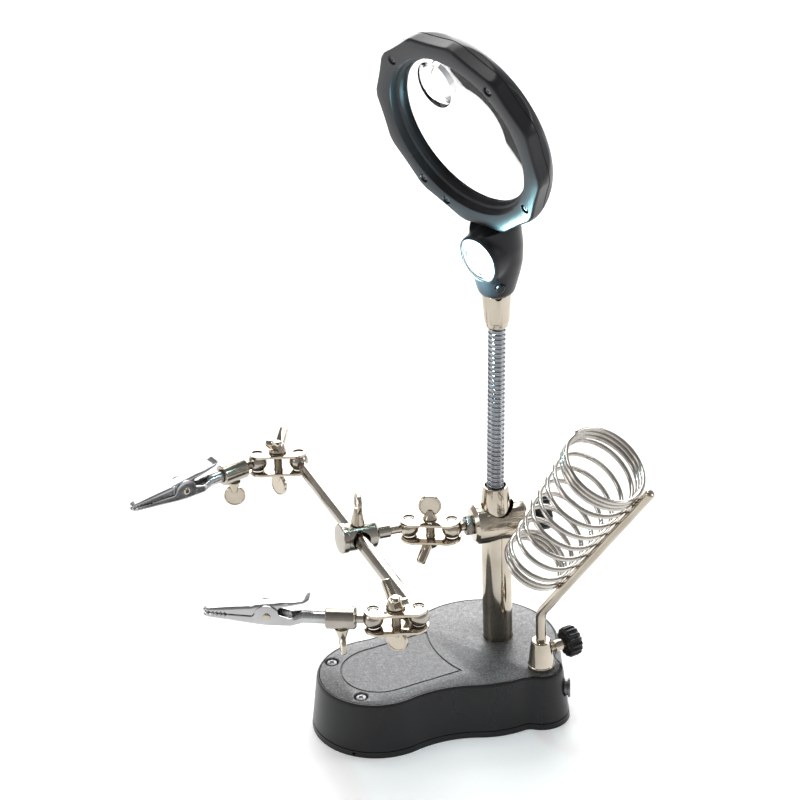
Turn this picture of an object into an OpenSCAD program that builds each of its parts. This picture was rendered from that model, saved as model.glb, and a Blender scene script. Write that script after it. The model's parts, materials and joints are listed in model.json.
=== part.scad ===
// Helping hands: a weighted base with a post, a magnifier with a lamp on a gooseneck,
// an adjustable arm that ends in two alligator clips, and a coil rest for a soldering iron.
// Origin: on the axis of the post, at the surface that the base stands on.
// +X runs along the base towards its large lobe, -X is the side that the magnifier faces, +Z is up.

/* [Base] */
// Height of the base's top plate above the table
base_h = 23; // [20:0.5:26]
// Radius of the base's large lobe, at the top
big_lobe_r = 31.8; // [30:0.2:34]
// Radius of the base's small lobe, at the top
end_lobe_r = 24; // [23:0.2:26]
// Distance between the two lobes' centres
lobe_gap = 46; // [44:0.5:50]
// Radius of the hollow curves at the waist
waist_r = 43.4; // [38:0.2:48]
// How far the walls flare out from top to bottom
flare = 2.7; // [1:0.1:3.5]
// Wall thickness of the plastic housing
wall_t = 2.4; // [2:0.1:3]
// Thickness of the metal top plate
plate_t = 1.2; // [1:0.1:1.6]
// Thickness of the bottom cover
cover_t = 2.4; // [2.2:0.1:3]

/* [Post and gooseneck] */
// Diameter of the post
post_d = 12; // [11:0.5:13]
// Height of the post's open top end
post_top_z = 93; // [88:1:100]
// Diameter of the gooseneck
neck_d = 7; // [6:0.2:8]
// Free length of the gooseneck
neck_len = 70; // [60:1:80]
// Sideways lean of the gooseneck, in degrees
neck_lean = 1.32; // [0:0.02:2]
// Direction in which the gooseneck leans
neck_lean_turn = -25.8; // [-40:0.2:0]

/* [Magnifier] */
// Turn of the magnifier about the vertical
head_turn = 17.6; // [0:0.1:20]
// Forward tilt of the lens ring
head_tilt = 15.6; // [5:0.1:25]
// Sideways roll of the lens ring
head_roll = -3.5; // [-5:0.1:5]
// Radius of the clear opening
lens_r = 30.6; // [29:0.1:31]
// Radius at the peaks of the front bezel
bezel_r = 40.8; // [40.2:0.1:41.5]
// Radius at the peaks of the scalloped grip
grip_r = 41; // [40.5:0.1:42]
// Number of scoops round the grip
grip_count = 12; // [10:1:14]
// Radius of the lamp window
window_r = 9; // [8:0.1:9.4]

/* [Arms] */
// Height of the post clamp's axis
clamp_z = 76.5; // [50:0.5:80]
// Direction in which the post clamp's knob points
clamp_turn = -10; // [-20:1:0]
// Radius of every ball
ball_r = 4; // [3.8:0.1:4.2]
// Distance between the two balls in a link
ball_gap = 17; // [16.5:0.1:18]
// Half of the gap between a link's two plates
plate_gap = 3.4; // [3.3:0.05:3.5]
// Thickness of a link plate
link_t = 1; // [0.8:0.1:1.2]
// Width of a link plate
link_w = 13; // [12:0.2:14]
// Direction of the link next to the post
post_link_turn = 148; // [120:1:170]
// Direction of the bar clamp
bar_clamp_turn = 176.5; // [170:0.5:185]
// Rise of the bar clamp
bar_clamp_rise = 3.9; // [0:0.1:8]
// Diameter of the cross bar
bar_d = 6; // [5.6:0.1:6.4]
// Reach of the cross bar to its rear ball
bar_rear = 66; // [60:1:72]
// Reach of the cross bar to its front ball
bar_front = 63; // [58:1:70]
// Direction of the rear link
rear_link_turn = 155; // [140:1:170]
// Direction of the front link
front_link_turn = 158.3; // [140:0.1:170]
// Direction of the rear clip
rear_clip_turn = 190.5; // [175:0.5:205]
// Direction of the front clip
front_clip_turn = 148; // [135:1:165]

/* [Iron rest] */
// Direction in which the rest leans out
rest_turn = -60.5; // [-75:0.5:-45]
// Angle of the sloping rod above the table
rod_rise = 55; // [50:1:60]
// Diameter of the rest's rod
rod_d = 4; // [3.8:0.1:4.2]
// Length of the sloping rod
rod_len = 85; // [82:1:88]
// Diameter of the coil's wire
wire_d = 1.9; // [1.6:0.1:2]
// Mean radius of the coil at its closed lower end
coil_low_r = 12; // [11:0.5:13]
// Mean radius of the coil at its open mouth
coil_top_r = 16.5; // [15:0.5:17]

/* [Hidden] */
$fn = 64;

// Running clearance on the radius of a shaft in its hole
run = 0.05;
// Overshoot that keeps a cutting tool clear of the faces it cuts
eps = 0.01;

// ---- Places worked out from the driving sizes ----
function polar(p, turn, rise, d) =
  p + d * [cos(rise) * cos(turn), cos(rise) * sin(turn), sin(rise)];

big_lobe = [-8.6, -0.95];
end_lobe = big_lobe - [lobe_gap, 0];
rest_lobe = [4.5, -28.5];
rest_lobe_r = 8.7;
rest_fillet_r = 8;

stud_reach = 18.2;
bar_clamp_reach = 22;
holder_reach = 12;
ball_a = polar([0, 0, clamp_z], clamp_turn, 0, -stud_reach);
ball_b = polar(ball_a, post_link_turn, 0, ball_gap);
bar_mid = polar(ball_b, bar_clamp_turn, bar_clamp_rise, bar_clamp_reach);
bar_turn = bar_clamp_turn + 90;
ball_rear = polar(bar_mid, bar_turn, 0, -bar_rear);
ball_front = polar(bar_mid, bar_turn, 0, bar_front);
ball_rear_clip = polar(ball_rear, rear_link_turn, 0, ball_gap);
ball_front_clip = polar(ball_front, front_link_turn, 0, ball_gap);
rear_link_roll = 8;

post_r = post_d / 2;
neck_r = neck_d / 2;
neck_step = neck_len / 3;
head_base = [1.45, -0.7, 205];
ring_z = 42.3;
ferrule_z = 163;
housing_z = 177;

module at_neck(d) {
  translate([0, 0, post_top_z])
    rotate([0, 0, neck_lean_turn])
      rotate([0, neck_lean, 0])
        translate([0, 0, d]) children();
}
// Upright frame on the magnifier's neck: -X is the side that the lamp faces
module at_lamp_housing() {
  translate([head_base[0], head_base[1], 0]) rotate([0, 0, head_turn]) children();
}
// Frame at the centre of the lens ring: -X is the front, +Z the top of the ring
module at_ring() {
  translate(head_base)
    rotate([0, 0, head_turn])
      rotate([0, -head_tilt, 0])
        rotate([head_roll, 0, 0])
          translate([0, 0, ring_z]) children();
}
module at_window() {
  at_lamp_housing() translate([0, 0, 195]) rotate([0, -10, 0]) children();
}
module at_post_clamp() {
  translate([0, 0, clamp_z]) rotate([0, 0, clamp_turn]) children();
}
// Each link frame sits at the link's first ball, with +X to its second ball
module at_post_link() {
  translate(ball_a) rotate([0, 0, post_link_turn]) children();
}
module at_rear_link() {
  translate(ball_rear) rotate([0, 0, rear_link_turn]) rotate([rear_link_roll, 0, 0]) children();
}
module at_front_link() {
  translate(ball_front) rotate([0, 0, front_link_turn]) children();
}
module at_bar_clamp() {
  translate(ball_b) rotate([0, 0, bar_clamp_turn]) rotate([0, -bar_clamp_rise, 0]) children();
}
module at_bar() {
  translate(bar_mid) rotate([0, 0, bar_turn]) children();
}
module at_rear_clip() {
  translate(ball_rear_clip) rotate([0, 0, rear_clip_turn]) children();
}
module at_front_clip() {
  translate(ball_front_clip) rotate([0, 0, front_clip_turn]) children();
}
module at_rest(z = 0) {
  translate([rest_lobe[0], rest_lobe[1], z]) rotate([0, 0, rest_turn]) children();
}

// ---- Shapes that repeat ----
// A round bar along +X from x0 to x1, with radius r0 at its start and r1 at its end
module xrod(x0, x1, r0, r1 = 0) {
  translate([x0, 0, 0]) rotate([0, 90, 0]) cylinder(h = x1 - x0, r1 = r0, r2 = r1 > 0 ? r1 : r0);
}
// A ball whose own axis lies along X, as the necks that leave it do
module ball() rotate([0, 90, 0]) sphere(r = ball_r);
// A wedge between two lobes whose hollow sides curve with radius r and touch both of them.
// It grows outwards from g0 at the bottom to g1 at the top, as the lobes do.
module web(c1, r1, c2, r2, r, h, g0, g1) {
  d = norm(c2 - c1);
  u = (c2 - c1) / d;
  v = [-u[1], u[0]];
  along = ((r1 + r) ^ 2 - (r2 + r) ^ 2 + d ^ 2) / (2 * d);
  off = sqrt((r1 + r) ^ 2 - along ^ 2);
  side_a = c1 + u * along + v * off;
  side_b = c1 + u * along - v * off;
  difference() {
    linear_extrude(h) polygon([c1, side_b, c2, side_a]);
    for (c = [side_a, side_b])
      translate([c[0], c[1], -eps]) cylinder(h = h + 2 * eps, r1 = r - g0, r2 = r - g1);
  }
}
// The base's outline as a solid from z0 to z1, grown by g0 at the bottom and g1 at the top
module base_solid(z0, z1, g0, g1) {
  h = z1 - z0;
  translate([0, 0, z0]) {
    translate(big_lobe) cylinder(h = h, r1 = big_lobe_r + g0, r2 = big_lobe_r + g1, $fn = 96);
    translate(end_lobe) cylinder(h = h, r1 = end_lobe_r + g0, r2 = end_lobe_r + g1, $fn = 96);
    translate(rest_lobe) cylinder(h = h, r1 = rest_lobe_r + g0, r2 = rest_lobe_r + g1);
    web(end_lobe, end_lobe_r, big_lobe, big_lobe_r, waist_r, h, g0, g1);
    web(big_lobe, big_lobe_r, rest_lobe, rest_lobe_r, rest_fillet_r, h, g0, g1);
  }
}
// Growth of the outer wall at height z
function wall_grow(z) = flare * (1 - z / base_h);

// ---- Base ----
plate_inset = 1;
door_x = -22;
door_w = 37;
tongue_w = 1;
cell_r = 5.25;
cell_len = 44.5;
cell_x = -68.5;
cell_gap = 11;
plate_screw_x = -67.6;
plate_screw_y = 13.8;
boss_z = 14.2;
post_foot_z = 8;
ballast_r = 21.6;
ballast_at = [-1.4, -0.95];
socket_turn = -30;
socket_z = 13;

module plate_screw_places() {
  for (s = [-1, 1]) translate([plate_screw_x, s * plate_screw_y, 0]) children();
}
module at_power_socket() {
  translate([rest_lobe[0], rest_lobe[1], socket_z])
    rotate([0, 0, socket_turn])
      translate([rest_lobe_r, 0, 0]) children();
}

module base_housing() color([0.09, 0.09, 0.10]) difference() {
  union() {
    difference() {
      base_solid(cover_t, base_h, wall_grow(cover_t), 0);
      base_solid(cover_t - eps, base_h - plate_t - 2, wall_grow(cover_t) - wall_t, -wall_t);
    }
    plate_screw_places() translate([0, 0, boss_z]) cylinder(h = 7, r = 3.6);
  }
  base_solid(base_h - plate_t, base_h + 1, -plate_inset, -plate_inset);
  plate_screw_places() translate([0, 0, boss_z - 1]) cylinder(h = 10, r = 1.3);
  cylinder(h = 40, r = post_r + 0.05);
  translate([rest_lobe[0], rest_lobe[1], 10]) cylinder(h = 20, r = 3 + 0.02);
  at_power_socket() xrod(-3, 3, 3.22);
}

// Closed line pressed into the top plate, at an inset i from its outer edge
module inlay_outline(i) {
  inlay_r = 16;
  inlay_x = 29;
  hollow_r = 43;
  difference() {
    union() {
      circle(r = inlay_r - i);
      translate([0, -inlay_r + i]) square([inlay_x - i, 2 * (inlay_r - i)]);
    }
    translate([68.6, 0]) circle(r = hollow_r + i, $fn = 128);
  }
}
module base_top_plate() color([0.30, 0.30, 0.31]) difference() {
  base_solid(base_h - plate_t, base_h, -plate_inset - 0.1, -plate_inset - 0.1);
  translate([-53, -0.5, base_h - 0.4]) linear_extrude(1) difference() {
    inlay_outline(0);
    inlay_outline(0.8);
  }
  plate_screw_places() translate([0, 0, base_h - plate_t - 1]) {
    cylinder(h = 3, r = 1.5);
    translate([0, 0, 0.9]) cylinder(h = 1.3 + eps, r1 = 1.3, r2 = 2.6);
  }
  translate([0, 0, base_h - 3]) cylinder(h = 4, r = post_r + 0.05);
  translate([rest_lobe[0], rest_lobe[1], base_h - 3]) cylinder(h = 4, r = 3.02);
}
module plate_screws() color([0.20, 0.20, 0.21]) plate_screw_places() difference() {
  union() {
    translate([0, 0, boss_z]) cylinder(h = base_h - boss_z - 0.2, r = 1.25);
    translate([0, 0, base_h - 1.3]) cylinder(h = 1.25, r1 = 1.2, r2 = 2.5);
  }
  for (a = [0, 90])
    translate([0, 0, base_h]) rotate([0, 0, a]) cube([3.2, 0.7, 1.6], center = true);
}
module base_bottom_cover() color([0.10, 0.10, 0.11]) difference() {
  base_solid(0, cover_t, flare, wall_grow(cover_t));
  translate([-100, -door_w / 2, -1]) cube([100 + door_x, door_w, cover_t + 2]);
  translate([-100, -door_w / 2 - tongue_w, 0.8]) cube([100 + door_x, door_w + 2 * tongue_w, 0.9]);
}
// The door slides out endways on two side tongues
module battery_door() color([0.10, 0.10, 0.11]) difference() {
  union() {
    intersection() {
      base_solid(0, cover_t - 0.1, flare, wall_grow(cover_t));
      translate([-100, -door_w / 2 + 0.15, -1]) cube([100 + door_x - 0.15, door_w - 0.3, 9]);
    }
    intersection() {
      base_solid(0.9, 1.6, flare - 0.2, flare - 0.2);
      translate([-70, -door_w / 2 - tongue_w + 0.15, 0.9])
        cube([70 + door_x - 0.15, door_w + 2 * tongue_w - 0.3, 0.7]);
    }
  }
  for (i = [0:3]) translate([-72 + 3 * i, -6, -eps]) cube([1.2, 12, 0.5]);
}
module battery_cells() color([0.72, 0.73, 0.75]) for (i = [-1:1])
  translate([cell_x, i * cell_gap, cover_t + 0.4 + cell_r]) {
    xrod(0, cell_len - 1, cell_r);
    xrod(cell_len - 1, cell_len, 1.9);
  }
module ballast_weight() color([0.28, 0.28, 0.28]) difference() {
  translate([ballast_at[0], ballast_at[1], cover_t + 0.2]) cylinder(h = 16.8, r = ballast_r);
  translate([0, 0, post_foot_z]) cylinder(h = 20, r = post_r + 0.02);
}
module power_socket() color([0.62, 0.62, 0.63]) at_power_socket() difference() {
  union() {
    xrod(-2.6, 2.2, 3.2);
    xrod(1.9, 2.9, 3.9);
  }
  xrod(-1.6, 4, 2.2);
}

// ---- Post and gooseneck ----
module post() color([0.72, 0.69, 0.64]) difference() {
  union() {
    translate([0, 0, post_foot_z]) cylinder(h = post_top_z - 9 - post_foot_z, r = post_r);
    translate([0, 0, post_top_z - 9]) cylinder(h = 9, r1 = post_r, r2 = post_r - 0.9);
  }
  translate([0, 0, post_foot_z - 1]) cylinder(h = 100, r = neck_r + 0.6);
}
module neck_piece(d0, d1) color([0.62, 0.64, 0.67]) at_neck(0) difference() {
  translate([0, 0, d0]) cylinder(h = d1 - d0, r = neck_r);
  translate([0, 0, d0 - 1]) cylinder(h = d1 - d0 + 2, r = neck_r - 1.3);
}
module gooseneck_lower() neck_piece(-6, neck_step);
module gooseneck_middle() neck_piece(neck_step, 2 * neck_step);
module gooseneck_upper() neck_piece(2 * neck_step, neck_len + 6);

module neck_ferrule() color([0.74, 0.70, 0.64]) translate([head_base[0], head_base[1], 0])
  difference() {
    union() {
      translate([0, 0, ferrule_z]) cylinder(h = 2, r1 = 4.4, r2 = 4.9);
      translate([0, 0, ferrule_z + 2]) cylinder(h = housing_z - ferrule_z - 2, r1 = 4.9, r2 = 5.8);
      translate([0, 0, housing_z - eps]) cylinder(h = 5, r = 4.6);
    }
    translate([0, 0, ferrule_z - 1]) cylinder(h = 30, r = neck_r + 0.35);
  }

// ---- Magnifier ----
frame_rear = 4.6;
frame_front = -0.5;
bezel_front = -6;
scoop_r = 120;
scoop_depth = 1.6;
lens_seat_r = 32.6;
bezel_mid = 38.4;
insert_r = 9;
insert_at = [0, 10.1, 17.2];
screw_angles = [40, -45, 133, -131, 152];
screw_circle_r = 36.4;
lens_x = 1;
cap_r = 184;
led_x = -5.2;
button_turn = 235;
button_z = 184.6;
button_tilt = 14;

// A disc from x0 to x1 with shallow scoops round its edge, whose peaks are at radius r
module grip_disc(x0, x1, r) translate([x0, 0, 0]) rotate([0, 90, 0]) linear_extrude(x1 - x0)
  difference() {
    circle(r = r, $fn = 128);
    for (i = [0:grip_count - 1])
      rotate(i * 360 / grip_count) translate([r - scoop_depth + scoop_r, 0]) circle(r = scoop_r, $fn = 128);
  }
module at_bezel_screws() {
  for (a = screw_angles)
    translate([0, screw_circle_r * sin(a), screw_circle_r * cos(a)]) children();
}
module at_button() {
  at_lamp_housing()
    translate([0, 0, button_z])
      rotate([0, 0, button_turn])
        rotate([0, button_tilt, 0]) children();
}
module lamp_housing_solid() {
  at_lamp_housing() {
    translate([0, 0, housing_z]) cylinder(h = 1.5, r1 = 6.6, r2 = 7.6);
    translate([0, 0, housing_z + 1.5]) cylinder(h = 12, r1 = 7.6, r2 = 10.4);
    translate([0, 0, housing_z + 13.5]) cylinder(h = 14, r = 10.4);
    translate([0, 0, housing_z + 27.5]) cylinder(h = 6, r1 = 10.4, r2 = 7);
  }
  at_window() xrod(-10.2, -1, window_r + 1);
}
module magnifier_rear_frame() color([0.10, 0.10, 0.11]) difference() {
  union() {
    at_ring() difference() {
      grip_disc(frame_front, frame_rear, grip_r);
      xrod(frame_front - 1, 3.2, lens_seat_r);
      xrod(0, frame_rear + 1, lens_r + 0.3);
    }
    difference() {
      lamp_housing_solid();
      at_ring() {
        xrod(-9, 20, lens_seat_r + 6);
        xrod(bezel_front - 8, frame_front + 0.1, grip_r + 0.15);
      }
    }
  }
  // Room for the lamp, the ferrule's spigot and the button
  at_window() xrod(-20, -2, window_r + 0.05);
  at_lamp_housing() translate([0, 0, housing_z - 1]) cylinder(h = 14, r = 4.65);
  at_button() xrod(2, 20, 1.9);
  at_ring() at_bezel_screws() xrod(-2, 4, 1.02);
}
// Cross-section of the front bezel, as [radius, x] points round the stepped inner lip
module magnifier_front_bezel() color([0.13, 0.13, 0.14]) at_ring() difference() {
  union() {
    rotate([0, 90, 0]) rotate_extrude($fn = 128) polygon([
      [lens_r, -1.4], [31.4, -2.6], [32.4, -3], [33, bezel_front], [bezel_mid, bezel_front],
      [bezel_mid, frame_front - 0.05], [lens_seat_r - 0.2, frame_front - 0.05],
      [lens_seat_r - 0.2, lens_face(lens_seat_r - 0.2) - 0.05], [lens_r, lens_face(lens_r) - 0.05]
    ]);
    difference() {
      grip_disc(bezel_front, frame_front - 0.05, bezel_r);
      xrod(bezel_front - 1, frame_front + 1, bezel_mid - 1);
    }
  }
  at_bezel_screws() {
    xrod(bezel_front - 1, 4, 1.05);
    xrod(bezel_front - 1, bezel_front + 1.2, 1.75);
  }
}
module bezel_screws() color([0.22, 0.22, 0.23]) at_ring() at_bezel_screws() {
  xrod(bezel_front + 0.3, bezel_front + 1.2, 1.65);
  xrod(bezel_front + 1.2, 3, 1);
}
// Front (x < 0) and rear faces of the main lens at radius r
function lens_face(r) = lens_x - 3 + r ^ 2 / (2 * cap_r);
function lens_back(r) = lens_x + 4.8 - r ^ 2 / (2 * cap_r);
module main_lens() color([0.85, 0.90, 0.92, 0.35]) at_ring() difference() {
  edge_r = lens_seat_r - 0.1;
  rings = [0:8];
  rotate([0, 90, 0]) rotate_extrude($fn = 128) polygon(concat(
    [for (i = rings) [edge_r * i / 8, lens_face(edge_r * i / 8)]],
    [for (i = rings) [edge_r * (8 - i) / 8, lens_back(edge_r * (8 - i) / 8)]]
  ));
  translate(insert_at) xrod(-8, 14, insert_r + 0.03);
}
module insert_lens() color([0.88, 0.92, 0.94, 0.35]) at_ring() translate(insert_at) intersection() {
  translate([9.4, 0, 0]) sphere(r = 12.4, $fn = 96);
  xrod(-6, lens_x + 3, insert_r);
}
module lamp_window() color([0.90, 0.96, 0.98, 0.35]) at_window() intersection() {
  xrod(-11.4, -8, window_r);
  translate([22.6, 0, 0]) sphere(r = 34, $fn = 96);
}
module lamp_board() color([0.92, 0.95, 0.97]) at_window() {
  xrod(-4.2, -2.6, window_r - 0.3);
  for (i = [-1, 1]) translate([0, i * 3.6, 0]) {
    xrod(led_x, -4.25, 2.5);
    translate([led_x, 0, 0]) intersection() {
      sphere(r = 2.5);
      xrod(-3, -0.05, 3);
    }
  }
}
module light_button() color([0.05, 0.05, 0.06]) at_button() {
  xrod(6.2, 9.9, 1.8);
}

// ---- Post clamp ----
nut_t = 2.8;
clamp_end = 10;
module flutes(x0, x1, r, n, cut_r) {
  for (i = [0:n - 1])
    rotate([i * 360 / n, 0, 0]) translate([x0, 0, r + 0.55 * cut_r]) xrod(0, x1 - x0, cut_r);
}
// Black fluted knob with a round boss, on the +X axis from x0
module fluted_knob(x0, r, h, hole_r) {
  difference() {
    union() {
      xrod(x0, x0 + 0.8, r - 0.8, r);
      xrod(x0 + 0.8, x0 + h - 0.8, r);
      xrod(x0 + h - 0.8, x0 + h, r, r - 0.8);
    }
    flutes(x0 - 1, x0 + h + 1, r, 16, 0.9);
    xrod(x0 - 1, x0 + h - 1.6, hole_r);
    xrod(x0 + h - 0.7, x0 + h + 1, r * 0.5);
  }
}
module post_clamp_body() color([0.74, 0.70, 0.64]) at_post_clamp() difference() {
  union() {
    xrod(-clamp_end, -clamp_end + 1.4, 6.6, 8.1);
    xrod(-clamp_end + 1.4, clamp_end + 0.4, 8.1);
    xrod(clamp_end + 0.4, clamp_end + 1.5, 8.1, 7);
  }
  translate([0.55, 0, -20]) cylinder(h = 40, r = post_r + 0.6);
  xrod(4, 20, 2 + run);
  xrod(-20, -7.6, 2 + run);
}
module post_clamp_screw() color([0.74, 0.70, 0.64]) at_post_clamp() {
  xrod(post_r + 0.05, 20.3, 2);
  xrod(12.6, 15.6, 3.2);
}
module post_clamp_knob() color([0.06, 0.06, 0.07]) at_post_clamp() fluted_knob(16, 6.75, 6, 2.02);
module post_clamp_stud() color([0.74, 0.70, 0.64]) at_post_clamp() {
  translate([-stud_reach, 0, 0]) ball();
  xrod(-stud_reach + 3, -7.8, 2);
}
module post_clamp_nut() color([0.34, 0.32, 0.30]) at_post_clamp() difference() {
  translate([-clamp_end - nut_t - 0.05, 0, 0]) rotate([0, 90, 0]) cylinder(h = nut_t, r = 4.3, $fn = 6);
  xrod(-20, 0, 2 + run);
}

// ---- Links: two plates that grip a ball at each end ----
link_over = 3.75;
screw_r = 1.9;
// One plate; side is +1 for the upper and -1 for the lower one
module link_plate(side) {
  end_x = link_w / 2 - link_over;
  color([0.76, 0.72, 0.66])
    translate([0, 0, side > 0 ? plate_gap : -plate_gap - link_t])
      linear_extrude(link_t) difference() {
        union() {
          for (x = [end_x, ball_gap - end_x]) translate([x, 0]) circle(r = link_w / 2);
          translate([end_x, -link_w / 2]) square([ball_gap - 2 * end_x, link_w]);
        }
        for (x = [0, ball_gap]) translate([x, 0]) circle(r = 2.2);
        translate([ball_gap / 2, 0]) circle(r = screw_r + run);
      }
}
paddle_r = 4.5;
paddle_t = 1.8;
// Flat round thumb paddle on a neck that starts at the origin and points along +Z
module paddle(neck_h, turn) {
  rotate([0, 0, turn]) {
    cylinder(h = neck_h, r1 = 2.8, r2 = 1.7);
    translate([0, 0, neck_h + paddle_r - 1.2])
      rotate([90, 0, 0]) cylinder(h = paddle_t, r = paddle_r, center = true);
  }
}
// Clamping screw of a link, with its paddle on the upper (+1) or the lower (-1) side
module link_screw(side, turn) color([0.74, 0.70, 0.64]) translate([ball_gap / 2, 0, 0])
  mirror([0, 0, side > 0 ? 0 : 1]) {
    translate([0, 0, -plate_gap - link_t - 4.6]) cylinder(h = 2 * plate_gap + 2 * link_t + 4.7, r = screw_r);
    translate([0, 0, plate_gap + link_t + 0.05]) paddle(2.4, turn);
  }
wing_len = 8.6;
wing_w = 3.4;
wing_splay = 50;
wing_t = 2.2;
// Wing nut on the upper (+1) or the lower (-1) side of a link
module wing_nut(side, turn) color([0.74, 0.70, 0.64]) translate([ball_gap / 2, 0, 0])
  mirror([0, 0, side > 0 ? 0 : 1])
    translate([0, 0, plate_gap + link_t + 0.1]) rotate([0, 0, turn]) difference() {
      union() {
        cylinder(h = 3.6, r1 = 3.7, r2 = 2.9);
        for (s = [0, 180]) rotate([0, 0, s]) translate([2.1, 0, 1.6]) rotate([0, wing_splay, 0])
          translate([-wing_t / 2, -wing_w / 2, 0]) cube([wing_t, wing_w, wing_len]);
      }
      translate([0, 0, -1]) cylinder(h = 8, r = screw_r + run);
    }

module post_link_upper_plate() at_post_link() link_plate(1);
module post_link_lower_plate() at_post_link() link_plate(-1);
module post_link_screw() at_post_link() link_screw(1, 7);
module post_link_wing_nut() at_post_link() wing_nut(-1, 66);
module rear_link_upper_plate() at_rear_link() link_plate(1);
module rear_link_lower_plate() at_rear_link() link_plate(-1);
module rear_link_screw() at_rear_link() link_screw(-1, -50);
module rear_link_wing_nut() at_rear_link() wing_nut(1, 70);
module front_link_upper_plate() at_front_link() link_plate(1);
module front_link_lower_plate() at_front_link() link_plate(-1);
module front_link_screw() at_front_link() link_screw(-1, -33);
module front_link_wing_nut() at_front_link() wing_nut(1, -68);

// ---- Bar clamp and cross bar ----
bar_r = bar_d / 2;
bar_hole_r = 3.7;
module bar_clamp_body() color([0.74, 0.70, 0.64]) at_bar_clamp() difference() {
  union() {
    xrod(8.4, 14, 2.7);
    xrod(14, 15.2, 4.6, 5.6);
    xrod(15.2, 27, 5.6);
    xrod(27, 29.4, 6);
  }
  translate([bar_clamp_reach, 30, bar_hole_r - bar_r - 0.08])
    rotate([90, 0, 0]) cylinder(h = 60, r = bar_hole_r);
  translate([bar_clamp_reach, 0, 0]) cylinder(h = 20, r = 2 + run);
  xrod(0, 13, 1.82);
}
module bar_clamp_stud() color([0.74, 0.70, 0.64]) at_bar_clamp() {
  ball();
  xrod(3, 12.8, 1.8);
}
module bar_clamp_screw() color([0.74, 0.70, 0.64])
  at_bar_clamp() translate([bar_clamp_reach, 0, 0]) {
    translate([0, 0, bar_r + 0.15]) cylinder(h = 6, r = 2);
    translate([0, 0, 5.7]) paddle(5.4, 79);
  }
module cross_bar() color([0.74, 0.70, 0.64]) at_bar() {
  neck_end = 7.4;
  shoulder = 1.4;
  xrod(-bar_rear + neck_end + shoulder, bar_front - neck_end - shoulder, bar_r);
  xrod(-bar_rear + neck_end, -bar_rear + neck_end + shoulder, 1.9, bar_r);
  xrod(bar_front - neck_end - shoulder, bar_front - neck_end, bar_r, 1.9);
  xrod(-bar_rear + 3, -bar_rear + neck_end, 1.9);
  xrod(bar_front - neck_end, bar_front - 3, 1.9);
  for (x = [-bar_rear, bar_front]) translate([x, 0, 0]) ball();
}

// ---- Clip holders: a ball, a neck and a barrel that takes the clip's tail ----
barrel_r = 4.3;
barrel_len = 11.4;
barrel_bore_r = 2.75;
module clip_holder() color([0.74, 0.70, 0.64]) difference() {
  union() {
    ball();
    xrod(3, holder_reach - barrel_len / 2 + 0.5, 1.8);
    xrod(holder_reach - barrel_len / 2, holder_reach - barrel_len / 2 + 0.6, barrel_r - 0.6, barrel_r);
    xrod(holder_reach - barrel_len / 2 + 0.6, holder_reach + barrel_len / 2, barrel_r);
  }
  xrod(holder_reach - barrel_len / 2 + 1.6, 30, barrel_bore_r);
  translate([holder_reach, 0, -10]) cylinder(h = 10, r = 1.9 + run);
}
module holder_screw(turn) color([0.74, 0.70, 0.64]) translate([holder_reach, 0, 0])
  mirror([0, 0, 1]) {
    translate([0, 0, barrel_bore_r]) cylinder(h = 3, r = 1.9);
    translate([0, 0, barrel_r + 0.1]) paddle(3.6, turn);
  }
module rear_clip_holder() at_rear_clip() clip_holder();
module rear_holder_screw() at_rear_clip() holder_screw(-35);
module front_clip_holder() at_front_clip() clip_holder();
module front_holder_screw() at_front_clip() holder_screw(-73);

// ---- Alligator clip: +X runs to its tip, its upper jaw opens towards +Z ----
sheet_t = 0.6;
jaw_w = 6.4;
tip_w = 3;
clip_tip = 24.2;
lug_r = 4.6;
pin_z = 1.2;
pin_r = 1;
jaw_split = 0.35;

// Side profile of each jaw, from the pivot forwards, as [x, z] from the pivot pin
module lower_side() {
  polygon([[0, -4.2], [18, -2.6], [clip_tip, -1.9], [clip_tip, -jaw_split], [0, -jaw_split]]);
}
module upper_side() {
  polygon([[0, jaw_split], [clip_tip, jaw_split], [clip_tip, 1.5], [12, 3.2], [0, 4.8], [-2, 4.8], [-4, 0.6]]);
}
// Keeps a jaw within the wedge that narrows to its tip
module jaw_plan(z0, z1, grow) {
  translate([0, 0, z0]) linear_extrude(z1 - z0) polygon([
    [-30, -jaw_w / 2 - grow], [3, -jaw_w / 2 - grow], [clip_tip + 1, -tip_w / 2 - grow],
    [clip_tip + 1, tip_w / 2 + grow], [3, jaw_w / 2 + grow], [-30, jaw_w / 2 + grow]
  ]);
}
module side_slab(w) rotate([90, 0, 0]) linear_extrude(w, center = true) children();
module tooth_row(z, n) {
  for (i = [0:n - 1])
    translate([clip_tip - 1.2 - 1.5 * i, 0, z]) rotate([0, 45, 0]) cube([0.75, 20, 0.75], center = true);
}
module lower_jaw(tail) color([0.74, 0.70, 0.64]) difference() {
  union() {
    intersection() {
      jaw_plan(-6, 6, 0);
      side_slab(20) lower_side();
    }
    intersection() {
      jaw_plan(-6, 6, 0);
      side_slab(20) union() {
        circle(r = lug_r);
        polygon([[0, -lug_r], [0, 1], [-lug_r + 0.2, 0], [-14, -1.6], [-14, -4.2], [0, -lug_r]]);
      }
    }
    // Rolled tail that goes into the barrel
    translate([0, 0, -pin_z]) xrod(-tail, -13, 2.5);
  }
  // Folded sheet: open inside, above the floor
  translate([0, 0, 1 - 4.2 + sheet_t])
    linear_extrude(20) polygon([
      [-12, -jaw_w / 2 + sheet_t], [3, -jaw_w / 2 + sheet_t], [clip_tip - 3, -tip_w / 2 + sheet_t],
      [clip_tip - 3, tip_w / 2 - sheet_t], [3, jaw_w / 2 - sheet_t], [-12, jaw_w / 2 - sheet_t]
    ]);
  rotate([90, 0, 0]) cylinder(h = 20, r = pin_r + run, center = true);
  tooth_row(-jaw_split, 6);
}
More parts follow.
